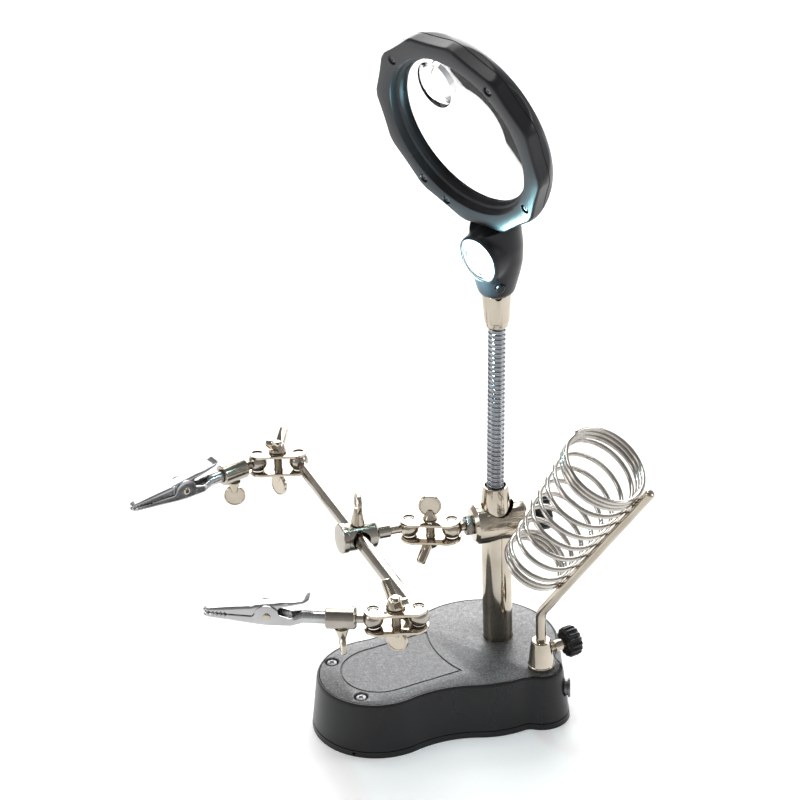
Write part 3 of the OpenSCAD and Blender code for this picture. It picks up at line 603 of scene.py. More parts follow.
def base_top_plate():
    bottom, top, inset = BASE_H - PLATE_T, BASE_H, -1.12
    obj = loft(
        "plate",
        [
            base_ring(grow, z)
            for grow, z in (
                (inset, bottom + 0.02), (inset, top - 0.22), (inset - 0.08, top - 0.07),
                (inset - 0.24, top),
            )
        ],
    )
    shape = ((0.0, 0.5), (0.02, -0.25), (0.25, -0.42), (0.55, -0.42), (0.78, -0.25), (0.8, 0.5))
    lines = [[(x - 53, y - 0.5, top + z) for x, y in inlay_line(inset_by)] for inset_by, z in shape]
    cuts = [loft(
        "groove", [[line[i] for line in lines] for i in range(len(lines[0]))], closed=True,
    )]
    for x, y in SCREW_PLACES:
        sink = [(-3, 0), (-3, 1.5), (-1.25, 1.5), (-1.25, 2.7), (-0.35, 2.7), (1, 4.2), (1, 0)]
        cuts.append(lathe("cut", sink, shift(x, y, top) @ turn("Y", -90), 40, 0.01))
    cuts.append(rod("cut", -3, 3, 6.06, shift(0, 0, top) @ turn("Y", -90)))
    cuts.append(rod("cut", -3, 3, 3.05, shift(REST_LOBE.x, REST_LOBE.y, top) @ turn("Y", -90)))
    combine(obj, cuts)
    return finish(obj, "base_top_plate", PAINT, 30)


def cross_head(obj, at, width, depth, thick):
    """Cuts a cross recess into a screw head whose top is at the frame's origin."""
    cuts = []
    for a in (20, 110):
        half, foot = width / 2, width / 2 * 0.55
        outline = [(-depth, -foot), (0.4, -half), (0.4, half), (-depth, foot)]
        cuts.append(prism("cut", outline, -thick / 2, thick / 2, at @ turn("X", a)))
    return combine(obj, cuts)


def plate_screws():
    pieces = []
    for x, y in SCREW_PLACES:
        at = shift(x, y, BASE_H - 0.12) @ turn("Y", -90)
        head = [
            (-8.5, 0), (-8.5, 1.25), (-1.15, 1.25), (-1.15, 2.5), (-0.75, 2.5), (-0.2, 1.9),
            (0, 0.9), (0, 0),
        ]
        obj = lathe("screw", head, at, 40, 0.2)
        pieces.append(cross_head(obj, at, 2.6, 1.0, 0.55))
    obj = combine(pieces[0], pieces[1:], "UNION")
    obj.name = "plate_screw_pair"
    return finish(obj, "plate_screws", BLACK_STEEL)


def power_socket():
    ring = [
        (-2.6, 0), (-2.6, 3.15), (1.95, 3.15), (1.95, 3.85), (2.85, 3.85), (2.85, 2.9), (2.4, 2.2),
        (-1.5, 2.2), (-1.5, 0),
    ]
    obj = lathe("socket_ring", ring, SOCKET, 64, 0.2)
    return finish(obj, "power_socket", BLACK_STEEL)


# ---- post and gooseneck
def post():
    r, bore, top = 6.0, 4.1, POST_TOP
    wall = [
        (8, bore), (8, r), (84, r), (top - 0.15, 5.12), (top, 4.95), (top, bore + 0.15),
        (top - 0.25, bore),
    ]
    obj = lathe("post_tube", wall, turn("Y", -90), 96, 0.5, closed=True)
    return finish(obj, "post", NICKEL)


def wound_strip(phase):
    """Radius across one turn of the gooseneck: a rounded strip, then the wire in its groove."""
    strip = 0.70
    if phase < strip:
        across = (phase / strip - 0.5) * 2
        return NECK_R - 0.62 * (1 - sqrt(max(1 - across**2, 0)))
    return NECK_R - 0.62 + 0.14 * sin(pi * (phase - strip) / (1 - strip))


def gooseneck():
    step = NECK_LEN / 3
    along = NECK_BASE @ turn("Y", -90)
    spans = [
        ("gooseneck_lower", -5.8, step, "stand", "lower_neck", 0, step),
        ("gooseneck_middle", step, 2 * step, "lower_neck", "upper_neck", step, 2 * step),
        (
            "gooseneck_upper", 2 * step, NECK_LEN + 5.8, "upper_neck", "magnifier", 2 * step,
            NECK_LEN,
        ),
    ]
    for node, d0, d1, low, high, b0, b1 in spans:
        obj = helix_rod(node + "_strip", d0, d1, wound_strip, NECK_PITCH, along, 48, 14)
        obj.data.materials.append(HOSE)
        obj.data.shade_smooth()
        obj.data.set_sharp_from_angle(angle=radians(60))
        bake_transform(obj)
        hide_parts(node)


def neck_ferrule():
    low, high = 163.0, 177.0
    wall = [
        (low, 3.9), (low, 4.35), (low + 1.9, 4.75), (low + 2.3, 5.0), (high - 1.2, 5.68),
        (high, 5.78), (high, 4.6), (high + 4.9, 4.6), (high + 4.9, 3.9),
    ]
    obj = lathe("ferrule", wall, HEAD @ turn("Y", -90), 96, 0.35, closed=True)
    notch = HEAD @ turn("Z", 250) @ shift(5.6, 0, high)
    combine(obj, [rod("cut", -1.5, 3, 1.5, notch @ shift(0, 0, 0.2))])
    return finish(soften(obj, 0.12), "neck_ferrule", NICKEL)


# ---- magnifier
BEZEL_FRONT, FRAME_FRONT, FRAME_REAR = -6.0, -0.5, 4.6
LENS_R, LENS_SEAT, LENS_X, CAP_R = 30.6, 32.6, 1.0, 184.0
RING_SCREWS = [40, -45, 133, -131, 152]
SCREW_CIRCLE = 36.4
INSERT_AT, INSERT_R = (0, 10.1, 17.2), 9.0
RIM_R, RIM_FALL, RIM_CROWN = 41.0, 0.05, -3.0
FACETS, FACET_R, FACET_RISE, FACET_HOLLOW, FACET_EDGE = 12, 39.45, 0.05, 1.25, 0.12


def outer_r(x, degrees):
    """Radius of the magnifier's outer face: a crowned rim with shallow facets."""
    rim = RIM_R - RIM_FALL * (x - RIM_CROWN) ** 2
    pitch = 360 / FACETS
    off = radians((degrees + pitch / 2) % pitch - pitch / 2)
    facet = (FACET_R + FACET_RISE * (x - BEZEL_FRONT)) / cos(off) ** FACET_HOLLOW
    return 0.5 * (rim + facet - sqrt((rim - facet) ** 2 + FACET_EDGE**2))


def polar_loft(name, inner, outer):
    """Ring from inner (x, radius) points, then outer (x, depth below the outer face) points."""
    rings = []
    for a in range(360):
        section = inner + [(x, outer_r(x, a) - depth) for x, depth in outer]
        rings.append([about_x(x, r, radians(a)) for x, r in section])
    return loft(name, rings, RING, closed=True)


def along_rim(x0, x1):
    """Stations about half a millimetre apart, all on the outer face."""
    count = round((x1 - x0) / 0.5)
    return [(x0 + (x1 - x0) * i / count, 0) for i in range(count + 1)]


def rear_ring():
    inner = [
        (FRAME_REAR, LENS_R + 2.4), (FRAME_REAR - 0.2, LENS_R + 1.5),
        (FRAME_REAR - 0.75, LENS_R + 0.7), (3.3, LENS_R + 0.4), (3.2, LENS_R + 0.5),
        (3.2, LENS_SEAT + 0.05), (3.0, LENS_SEAT + 0.05), (FRAME_FRONT, LENS_SEAT + 0.4),
    ]
    outer = [(FRAME_FRONT, 0.25)] + along_rim(FRAME_FRONT + 0.2, 3.7)
    outer += [(4.1, 0.2), (4.4, 0.55), (FRAME_REAR, 1.2), (FRAME_REAR, 2.6)]
    return polar_loft("rear_ring", inner, outer)


def lamp_housing():
    """Housing below the ring, flowing into it with a fillet."""
    tall = HOUSING @ turn("Y", -90)
    profile = [
        (177, 0), (177, 6.3), (177.9, 7.0), (181, 7.9), (186, 9.3), (190.5, 10.2), (197, 10.5),
        (206, 9.6), (211, 7.5), (211, 0),
    ]
    body = lathe("lamp_housing", profile, tall, 72, 1.2)
    parts = [lathe(
        "collar", [(-10.1, 0), (-10.1, 9.6), (-9.0, 10.0), (-1, 10.2), (2, 7), (2, 0)], WINDOW, 72,
        0.3,
    )]
    rows = []
    for a in range(148, 213, 4):
        rows.append([
            about_x(x, r, radians(a))
            for x, r in ((-3.0, 35), (-3.0, 40.4), (3.8, 39.6), (3.8, 35))
        ])
    parts.append(loft("ring_part", rows, RING))
    combine(body, parts, "UNION")
    remesh = body.modifiers.new("r", "REMESH")
    remesh.mode, remesh.voxel_size = "VOXEL", 0.55 * MM
    smooth = body.modifiers.new("s", "SMOOTH")
    smooth.factor, smooth.iterations = 0.5, 16
    apply_modifiers(body)
    cuts = [
        lathe(
            "cut",
            [
                (-14, 0), (-14, 41.4), (FRAME_FRONT + 0.1, 41.4), (FRAME_FRONT + 0.1, 35.2),
                (9, 35.2), (9, 0),
            ],
            RING, 160, 0.02,
        ),
        rod("cut", -20, -3.2, 9.06, WINDOW, 0.02, 96), rod("cut", 170, 190.5, 4.7, tall, 0.02),
        rod("cut", 2, 20, 1.95, BUTTON, 0.02),
    ]
    return combine(body, cuts)


def magnifier_frame():
    obj = soften(lamp_housing(), 0.22, 2, 45)
    finish(obj, "magnifier_rear_frame", SATIN, 40)
    ring = rear_ring()
    holes = [
        rod("cut", -2, 3, 1.05, RING @ turn("X", -a) @ shift(0, 0, SCREW_CIRCLE), 0.01, 24)
        for a in RING_SCREWS
    ]
    finish(combine(ring, holes), "magnifier_rear_frame", SATIN, 34)


def lens_face(r):
    """Where the main lens's front face is at radius r."""
    return LENS_X - 3 + r**2 / (2 * CAP_R)


def front_bezel():
    seat, back = LENS_SEAT - 0.25, FRAME_FRONT - 0.06
    inner = [
        (back, seat), (lens_face(seat) - 0.06, seat), (lens_face(LENS_R) - 0.06, LENS_R),
        (-1.3, LENS_R), (-1.55, LENS_R + 0.15), (-2.6, 31.3), (-2.85, 31.9), (-3.1, 32.25),
        (-5.4, 32.9), (-5.85, 33.15), (BEZEL_FRONT, 33.6),
    ]
    outer = [(BEZEL_FRONT, 1.0), (-5.93, 0.6), (-5.75, 0.25), (-5.45, 0.05)]
    outer += along_rim(-5.0, FRAME_FRONT - 0.3) + [(back, 0.2)]
    obj = polar_loft("front_bezel", inner, outer)
    cuts = []
    for a in RING_SCREWS:
        at = RING @ turn("X", -a) @ shift(0, 0, SCREW_CIRCLE)
        cuts.append(lathe(
            "cut",
            [
                (-8, 0), (-8, 1.95), (-5.9, 1.95), (-5.6, 1.75), (-4.75, 1.75), (-4.75, 1.06),
                (2, 1.06), (2, 0),
            ],
            at, 32, 0.01,
        ))
    return finish(combine(obj, cuts), "magnifier_front_bezel", SATIN, 34)


def bezel_screws():
    pieces = []
    for i, a in enumerate(RING_SCREWS):
        at = RING @ turn("X", -a) @ shift(-5.55, 0, SCREW_CIRCLE) @ turn("Z", 180)
        obj = lathe(
            "screw",
            [(-8, 0), (-8, 1), (-0.75, 1), (-0.75, 1.62), (-0.3, 1.55), (0, 0.9), (0.05, 0)], at,
            32, 0.15,
        )
        pieces.append(cross_head(obj, at @ turn("X", 31 * i), 1.7, 0.6, 0.38))
    obj = combine(pieces[0], pieces[1:], "UNION")
    obj.name = "bezel_screw_set"
    return finish(obj, "bezel_screws", BLACK_STEEL)


def lens_faces():
    edge, n = LENS_SEAT - 0.12, 22
    front = [(lens_face(edge * i / n), edge * i / n) for i in range(n + 1)]
    back = [
        (LENS_X + 4.8 - (edge * i / n) ** 2 / (2 * CAP_R), edge * i / n)
        for i in range(n, -1, -1)
    ]
    return front + back


def lenses():
    obj = lathe("main_lens_glass", lens_faces(), RING, 160, 0.001)
    hole = RING @ shift(*INSERT_AT)
    combine(obj, [rod("cut", -8, 14, INSERT_R + 0.06, hole, 0.01, 96)])
    finish(obj, "main_lens", LENS, 25)
    # The strong insert bulges forwards and is flat where it meets the back of the main lens
    r, middle, back, n = 12.4, 9.4, LENS_X + 3, 16
    dome = [(middle - sqrt(r**2 - (INSERT_R * i / n) ** 2), INSERT_R * i / n) for i in range(n + 1)]
    insert = lathe(
        "insert_lens_glass", dome + [(back - 0.2, INSERT_R), (back, INSERT_R - 0.2), (back, 0)],
        hole, 128, 0.001,
    )
    finish(insert, "insert_lens", LENS, 25)


LED_X, LED_Y = -5.2, 3.6
SPILL_AT, SPILL_COLOUR, SPILL_WATTS, SPILL_SIZE_M = (-20.0, 0, -3.0), (0.45, 0.88, 1.0), 0.16, 0.003
LED_GLOW = glow("led_glow", WINDOW @ Vector((LED_X - 2, 0, 0.5)), (0.30, 0.85, 1.0), 34.0, 10.0)
# Painted glow: the dish gives no light of its own; its emission, brightest by the LEDs, stands in
# for their light falling on it.
DISH_PAINTED_GLOW = glow("lamp_dish_painted_glow", WINDOW @ Vector((-5.5, 0, 1.5)), (0.30, 0.75, 1.0), 9.0, 9.5)


def lamp():
    window_r = 9.0
    n, big, middle = 14, 34.0, 22.6
    dome = [
        (middle - sqrt(big**2 - (window_r * i / n) ** 2), window_r * i / n)
        for i in range(n + 1)
    ]
    rim = [(-9.9, window_r), (-8.3, window_r), (-8.3, window_r - 1.2), (-9.2, 5), (-9.6, 0)]
    finish(lathe("lamp_cover_dome", dome + rim, WINDOW, 96, 0.15), "lamp_window", COVER, 35)
    # The dish gets the painted-glow material: emission in place of the LEDs' light falling on it.
    board = lathe(
        "lamp_dish_painted_glow", [(-2.7, 0), (-2.7, 8.7), (-7.6, 8.75), (-7.75, 8.5), (-4.3, 6.2), (-4.2, 0)],
        WINDOW, 72, 0.3,
    )
    finish(board, "lamp_board", DISH_PAINTED_GLOW, 40)
    for i, y in enumerate((-LED_Y, LED_Y)):
        at = WINDOW @ shift(0, y, 0)
        tip = [(LED_X - 2.5 * sin(radians(a)), 2.5 * cos(radians(a))) for a in range(0, 91, 10)]
        led = lathe(
            f"led_{i + 1}",
            [(-4.1, 0), (-4.1, 2.9), (-4.8, 2.9), (-4.8, 2.5)] + tip[:-1] + [(LED_X - 2.5, 0)], at,
            40, 0.05,
        )
        finish(led, "lamp_board", LED_GLOW, 40)
    spill = bpy.data.lights.new("lamp_spill", "POINT")
    spill.energy, spill.color, spill.shadow_soft_size = SPILL_WATTS, SPILL_COLOUR, SPILL_SIZE_M
    source = put("lamp_spill", spill)
    source.location = WINDOW @ Vector(SPILL_AT) * MM
    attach(source, NODE_BODY["lamp_board"])


def light_button():
    obj = lathe(
        "lamp_button", [(6.2, 0), (6.2, 1.78), (9.2, 1.78), (9.65, 1.55), (9.85, 0.9), (9.9, 0)],
        BUTTON, 48, 0.3,
    )
    return finish(obj, "light_button", KNOB)


# ---- shared hardware
def threaded(name, x0, x1, r, matrix, pitch=0.7, depth=0.28):
    """Screw thread with chamfered ends along X."""

    def ridge(phase):
        return r - depth * abs(2 * phase - 1) ** 0.9

    body = helix_rod(name, x0, x1, ridge, pitch, matrix, 32, 8)
    chamfer = [
        (x0 - 1, 0), (x0 - 1, r - 0.45 - 0.02), (x0 + 0.02, r - 0.45), (x0 + 0.45, r + 0.02),
        (x1 - 0.45, r + 0.02), (x1 - 0.02, r - 0.45), (x1 + 1, r - 0.47), (x1 + 1, 0),
    ]
    return combine(body, [lathe("limit", chamfer, matrix, 40, 0.001)], "INTERSECT")


def ball_profile(neck):
    """Ball at the origin whose neck leaves it along +X."""
    end, steps = math.degrees(math.asin(neck / BALL_R)), 18
    angles = [radians(i * (180 - end) / steps) for i in range(steps + 1)]
    return [(-BALL_R * cos(a), BALL_R * sin(a)) for a in angles]


def coin(face_turn, matrix, neck_h=2.4):
    """Thumb paddle: a round coin on edge, on a tapered neck that rises along +X."""
    radius, half_t, foot, neck_end = 4.5, 0.9, 2.8, neck_h + 1.6
    neck = lathe(
        "paddle",
        [
            (0, 0), (0, foot), (0.35, foot + 0.05), (neck_h * 0.55, foot * 0.8), (neck_h, 1.75),
            (neck_end, 1.3), (neck_end, 0),
        ],
        matrix, 48, 0.35,
    )
    middle = neck_h + radius - 1.2
    at = matrix @ turn("X", face_turn) @ shift(middle, 0, 0) @ turn("Z", 90)
    side = [(0.22, 0.75), (0, 0.6), (0, 0.25), (0.3, 0)]
    face = [(-half_t + 0.22, 0)] + [(-half_t + x, radius - inset) for x, inset in side]
    face += [(-x, r) for x, r in reversed(face)]
    return combine(neck, [lathe("coin", face, at, 64, 0.12)], "UNION")


def fluted_knob(name, node, x0, r, h, hole_r, matrix):
    """Black knob with round grooves, a rolled rim and a dished cap."""
    section = [
        (x0, 0, hole_r + 0.02), (x0, 0, r - 1.7), (x0 + 0.15, 0.5, r - 1.0),
        (x0 + 0.5, 1, r - 0.35), (x0 + 1.1, 1, r), (x0 + h - 1.1, 1, r),
        (x0 + h - 0.45, 1, r - 0.3), (x0 + h - 0.1, 0.7, r - 0.85), (x0 + h, 0.2, r - 1.5),
        (x0 + h, 0, r * 0.62), (x0 + h - 0.2, 0, r * 0.56), (x0 + h - 0.65, 0, r * 0.5),
        (x0 + h - 0.7, 0, 0.3), (x0 + h - 1.5, 0, 0.2), (x0 + h - 1.6, 0, hole_r),
    ]
    grooves, depth, rings = 16, 0.75, []
    segments = grooves * 14
    for k in range(segments):
        a = 360 * k / segments
        groove = abs(cos(radians(a * grooves / 2))) ** 2.2
        rings.append([about_x(x, rr - w * depth * groove, radians(a)) for x, w, rr in section])
    obj = loft(name, rings, matrix, closed=True)
    return finish(obj, node, KNOB, 40)


# ---- post clamp
def post_clamp():
    r = 8.1
    body = lathe(
        "post_clamp_barrel",
        [
            (-10, 0), (-10, 6.5), (-9.7, 6.75), (-8.6, r), (10.4, r), (11.4, 7.1), (11.5, 6.8),
            (11.5, 0),
        ],
        CLAMP, 128, 0.3,
    )
    cuts = [
        rod("cut", -20, 20, 6.6, CLAMP @ shift(0.55, 0, 0) @ turn("Y", -90), 0.01, 128),
        rod("cut", 3, 20, 2.1, CLAMP, 0.01), rod("cut", -20, -7, 2.1, CLAMP, 0.01),
    ]
    finish(soften(combine(body, cuts), 0.35, 3), "post_clamp_body", NICKEL)
    screw = threaded("post_clamp_thread", 6.1, 16.5, 2.0, CLAMP)
    combine(
        screw,
        [lathe("collar", [(12.6, 0), (12.6, 3.2), (15.55, 3.2), (15.55, 0)], CLAMP, 48, 0.4)],
        "UNION",
    )
    combine(screw, [rod("core", 15.4, 20.2, 1.95, CLAMP, 0.2)], "UNION")
    finish(screw, "post_clamp_screw", NICKEL)
    fluted_knob("post_clamp_knob_cap", "post_clamp_knob", 16, 6.75, 6, 2.02, CLAMP)
    at = CLAMP @ shift(-18.2, 0, 0)
    stud = lathe(
        "post_stud_ball", ball_profile(1.75) + [(5.0, 1.75), (5.1, 1.6), (5.1, 0)], at, 72, 0.15,
    )
    combine(stud, [threaded("t", 4.6, 10.3, 1.98, at)], "UNION")
    finish(stud, "post_clamp_stud", NICKEL)
    nut = prism(
        "lock_nut", arc(0, 0, 4.3, 0, 300, 5), -1.4, 1.4,
        CLAMP @ shift(-11.45, 0, 0) @ turn("Y", 90),
    )
    dome = lathe(
        "limit",
        [
            (-13, 0), (-13, 3.3), (-12.85, 3.6), (-12.0, 4.4), (-10.9, 4.4), (-10.05, 3.7),
            (-10, 3.6), (-10, 0),
        ],
        CLAMP, 64, 0.1,
    )
    combine(nut, [dome], "INTERSECT")
    combine(nut, [rod("cut", -14, -9, 2.06, CLAMP, 0.01)])
    finish(soften(nut, 0.12), "post_clamp_nut", DARK_STEEL)


# ---- ball links
PLATE_GAP, LINK_T, LINK_W = 3.4, 1.0, 13.0


def link_outline():
    """Pressed plate: two round ends and a slightly drawn-in middle."""
    r, over, waist = LINK_W / 2, 3.75, 0.55
    left, right = r - over, BALL_GAP - (r - over)
    half = arc(right, 0, r, -78, 78, 26)
    other = arc(left, 0, r, 102, 258, 26)
    top, n = [], 8
    x0, y0 = half[-1]
    x1 = other[0][0]
    for i in range(1, n):
        t = i / n
        top.append((x0 + (x1 - x0) * t, y0 + (r - y0 - waist) * sin(pi * t)))
    return half + top + other + [(x, -y) for x, y in reversed(top)]


def link_plate(name, side, node, matrix):
    """One of the two plates that grip the balls. Its chamfered holes show the balls."""
    z0 = PLATE_GAP if side > 0 else -PLATE_GAP - LINK_T
    obj = prism(name, link_outline(), z0, z0 + LINK_T, matrix)
    cuts = [rod("cut", -8, 8, 1.97, matrix @ shift(BALL_GAP / 2, 0, 0) @ turn("Y", -90), 0.01, 40)]
    for x in (0, BALL_GAP):
        lead = matrix @ shift(x, 0, 0) @ turn("Y", -90 * side)
        cup = [
            (2.8, 0), (2.8, 2.6), (3.6, 2.3), (3.9, 2.15), (4.2, 2.15), (4.45, 2.4), (5, 2.6),
            (5, 0),
        ]
        cuts.append(lathe("cut", cup, lead, 64, 0.05))
    combine(obj, cuts)
    return finish(soften(obj, 0.3, 3, 50), node, NICKEL)


def link_screw(name, side, face_turn, node, matrix):
    """Clamping screw: a paddle on one side, a thread that shows between and beyond the plates."""
    up = matrix @ shift(BALL_GAP / 2, 0, 0) @ turn("Y", -90 * side)
    obj = threaded(name, -9.0, 4.2, 1.88, up)
    combine(obj, [rod("shank", 2.6, 4.8, 1.86, up, 0.05)], "UNION")
    face = face_turn if side > 0 else -face_turn
    combine(obj, [coin(face, up @ shift(PLATE_GAP + LINK_T + 0.05, 0, 0))], "UNION")
    return finish(obj, node, NICKEL)


def wing_nut(name, side, turn_by, node, matrix):
    """Nut with a coned boss and two splayed, rounded wings."""
    up = matrix @ shift(BALL_GAP / 2, 0, 0) @ turn("Y", -90 * side) @ shift(
        PLATE_GAP + LINK_T + 0.1, 0, 0,
    )
    up = up @ turn("X", turn_by if side > 0 else -turn_by)
    obj = lathe(
        name, [(0, 0), (0, 3.65), (0.5, 3.7), (2.9, 2.95), (3.6, 2.6), (3.6, 0)], up, 64, 0.3,
    )
    wing_len, half_w, half_t, splay = 8.6, 1.7, 1.1, 50
    outline = [(-0.9, -half_w - 0.2), (wing_len - 0.5, -half_w), (wing_len, -half_w + 0.5)]
    outline += [(x, -y) for x, y in reversed(outline)]
    wings = []
    for s in (0, 180):
        at = up @ turn("X", s) @ shift(1.6, 0, -2.1) @ turn("Y", splay)
        wings.append(soften(prism("wing", outline, -half_t, half_t, at), 0.4, 3))
    combine(obj, wings, "UNION")
    combine(obj, [rod("cut", -1, 6, 2.0, up, 0.01, 40)])
    return finish(soften(obj, 0.15), node, NICKEL)


def links():
    for name, matrix, screw_side, screw_turn, wing_turn in (
        ("post_link", POST_LINK, 1, 7, 66), ("rear_link", LINKS["rear"], -1, -50, 70),
        ("front_link", LINKS["front"], -1, -33, -68),
    ):
        link_plate(name + "_top", 1, name + "_upper_plate", matrix)
        link_plate(name + "_bottom", -1, name + "_lower_plate", matrix)
        link_screw(name + "_thumbscrew", screw_side, screw_turn, name + "_screw", matrix)
        wing_nut(name + "_wings", -screw_side, wing_turn, name + "_wing_nut", matrix)


# ---- bar clamp and cross bar
def bar_clamp():
    reach, hole_r, bar_r = 22.0, 3.7, 3.0
    body = lathe(
        "bar_clamp_barrel",
        [
            (8.4, 0), (8.4, 2.4), (8.7, 2.7), (14, 2.7), (14.1, 4.4), (15.2, 5.6), (26.9, 5.6),
            (27.1, 6.0), (29.1, 6.0), (29.4, 5.7), (29.4, 0),
        ],
        BAR_CLAMP, 96, 0.2,
    )
    across = BAR_CLAMP @ shift(reach, 0, hole_r - bar_r - 0.08) @ turn("Z", 90)
    cuts = [
        rod("cut", -10, 10, hole_r, across, 0.01, 96),
        rod("cut", 0, 9, 2.1, BAR_CLAMP @ shift(reach, 0, 0) @ turn("Y", -90), 0.01),
        rod("cut", 0, 12.9, 1.85, BAR_CLAMP, 0.01),
    ]
    finish(soften(combine(body, cuts), 0.25, 3), "bar_clamp_body", BARREL)
    ball = lathe(
        "bar_clamp_ball", ball_profile(1.75) + [(6, 1.75), (12.8, 1.75), (12.8, 0)], BAR_CLAMP, 72,
        0.15,
    )
    finish(ball, "bar_clamp_stud", NICKEL)
    up = BAR_CLAMP @ shift(reach, 0, 0) @ turn("Y", -90)
    screw = threaded("bar_clamp_thumbscrew", bar_r + 0.15, 6.4, 1.98, up)
    combine(screw, [coin(79, up @ shift(5.7, 0, 0), neck_h=5.4)], "UNION")
    finish(screw, "bar_clamp_screw", NICKEL)


def cross_bar():
    rear, front, neck_end, shoulder = -66.0, 63.0, 7.4, 1.4
    left = [(rear + x, r) for x, r in ball_profile(1.85)]
    right = [(front - x, r) for x, r in reversed(ball_profile(1.85))]
    middle = [
        (rear + neck_end, 1.85), (rear + neck_end + 0.2, 2.2), (rear + neck_end + shoulder, 3.0),
        (front - neck_end - shoulder, 3.0), (front - neck_end - 0.2, 2.2), (front - neck_end, 1.85),
    ]
    obj = lathe("cross_bar_rod", left + middle + right, BAR, 72, 0.25)
    return finish(obj, "cross_bar", BARREL)


# ---- clips
JAW_W, TIP_W, TIP_X, SHEET, PIN_Z, SPLIT = 6.4, 3.0, 24.2, 0.6, 1.2, 0.35
LUG_R, CHEEK_R, TOOTH = 4.6, 2.3, 1.5


def clip_holder(end):
    at = HOLDERS[end]
    line = ball_profile(1.8) + [
        (6.2, 1.8), (6.3, 3.6), (7.0, 4.3), (17.4, 4.3), (17.7, 4.0), (17.7, 2.75), (7.9, 2.75),
        (7.9, 0),
    ]
    obj = lathe(end + "_holder_barrel", line, at, 72, 0.25)
    hole = rod("cut", 0.5, 9, 2.0, at @ shift(12, 0, 0) @ turn("Y", 90), 0.01)
    finish(soften(combine(obj, [hole]), 0.15), end + "_clip_holder", BARREL)
    down = at @ shift(12, 0, 0) @ turn("Y", 90)
    screw = threaded(end + "_holder_thumbscrew", 2.8, 5.0, 1.88, down)
    face = {"rear": 35, "front": 73}[end]
    combine(screw, [coin(face, down @ shift(4.4, 0, 0), neck_h=3.6)], "UNION")
    finish(screw, end + "_holder_screw", NICKEL)


def between(x, *marks):
    """Value at x on the line through (x, value) marks."""
    if x <= marks[0][0]:
        return marks[0][1]
    for (x0, v0), (x1, v1) in zip(marks, marks[1:]):
        if x <= x1:
            return v0 + (v1 - v0) * (x - x0) / (x1 - x0)
    return marks[-1][1]


def channel(hw, floor, edge, corner=0.9):
    """Half-open sheet section from one edge round the floor to the other edge, as (y, z) points."""
    s = 1 if edge > floor else -1
    c = min(corner, hw * 0.8, abs(edge - floor) * 0.6)
    right = [(hw, edge + (floor + s * c - edge) * t) for t in (0, 0.25, 0.5, 0.75)]
    for a in (0, 22.5, 45, 67.5, 90):
        right.append((hw - c + c * cos(radians(a)), floor + s * c - s * c * sin(radians(a))))
    return right + [(0, floor)] + [(-y, z) for y, z in reversed(right)]


def tube(r, middle, count):
    """Almost closed round section, as (y, z) points."""
    angles = [radians(8 + 344 * i / (count - 1)) for i in range(count)]
    return [(r * sin(a), middle + r * cos(a)) for a in angles]


def sheet_part(name, stations, matrix):
    """Bent sheet through (x, section) stations."""
    n = len(stations[0][1])
    verts = [(x, y, z) for x, ring in stations for y, z in ring]
    corners = [i * n + k for i in range(len(stations) - 1) for k in range(n - 1)]
    faces = [(a, a + 1, a + n + 1, a + n) for a in corners]
    obj = raw(name, verts, faces, matrix)
    mod = obj.modifiers.new("sheet", "SOLIDIFY")
    mod.thickness, mod.offset, mod.use_even_offset = SHEET * MM, 0, True
    return soften(apply_modifiers(obj), 0.1, 2, 55)


def jaw_width(x):
    return between(x, (3, JAW_W / 2), (TIP_X, TIP_W / 2 + 0.05)) - SHEET / 2


def tooth_edge(x, first, level):
    """Saw edge near the tip: level is the tooth tips' height, and notches go away from zero."""
    if x < first:
        return level
    phase = ((x - first) / TOOTH) % 1
    return level + math.copysign(
        0.75, level,
    ) * (1 - abs(2 * phase - 1)) if x < TIP_X - 0.3 else level


def jaw_stops(start):
    xs = [start + i * (15.2 - start) / 56 for i in range(56)]
    return xs + [15.2 + TOOTH / 2 * i for i in range(12)] + [TIP_X - 0.25, TIP_X]


def lower_jaw(end):
    tail = {"rear": -26.8, "front": -30.0}[end]
    stations = []
    for x in [tail] + jaw_stops(-13.2):
        floor = between(
            x, (-14, -4.2), (0, -4.2), (18, -2.6), (23, -2.1), (TIP_X, -1.3),
        ) + SHEET / 2
        if abs(x) < LUG_R - 0.15:
            edge = sqrt(LUG_R**2 - x * x)
        elif x < 0:
            edge = between(x, (-14, -1.6), (-9, -0.8), (-4.4, 0.6))
        else:
            edge = max(
                between(x, (4.4, 1.0), (5.4, -SPLIT)), -SPLIT,
            ) if x < 5.4 else tooth_edge(x, 15.2, -SPLIT)
        hw = jaw_width(x) * between(x, (22.5, 1), (TIP_X, 0.72))
        ring = channel(hw, floor, edge)
        rolled = between(x, (-13, 1), (-8.6, 0))
        if rolled:
            round_ = tube(2.2, -PIN_Z, len(ring))
            ring = [
                tuple(p * (1 - rolled) + q * rolled for p, q in zip(*ends))
                for ends in zip(ring, round_)
            ]
        stations.append((x, ring))
    obj = sheet_part(end + "_jaw_lower_sheet", stations, CLIPS[end])
    combine(obj, [rod("cut", -6, 6, 1.05, CLIPS[end] @ turn("Z", 90), 0.01, 32)])
    return finish(obj, end + "_clip_lower_jaw", JAW, 40)


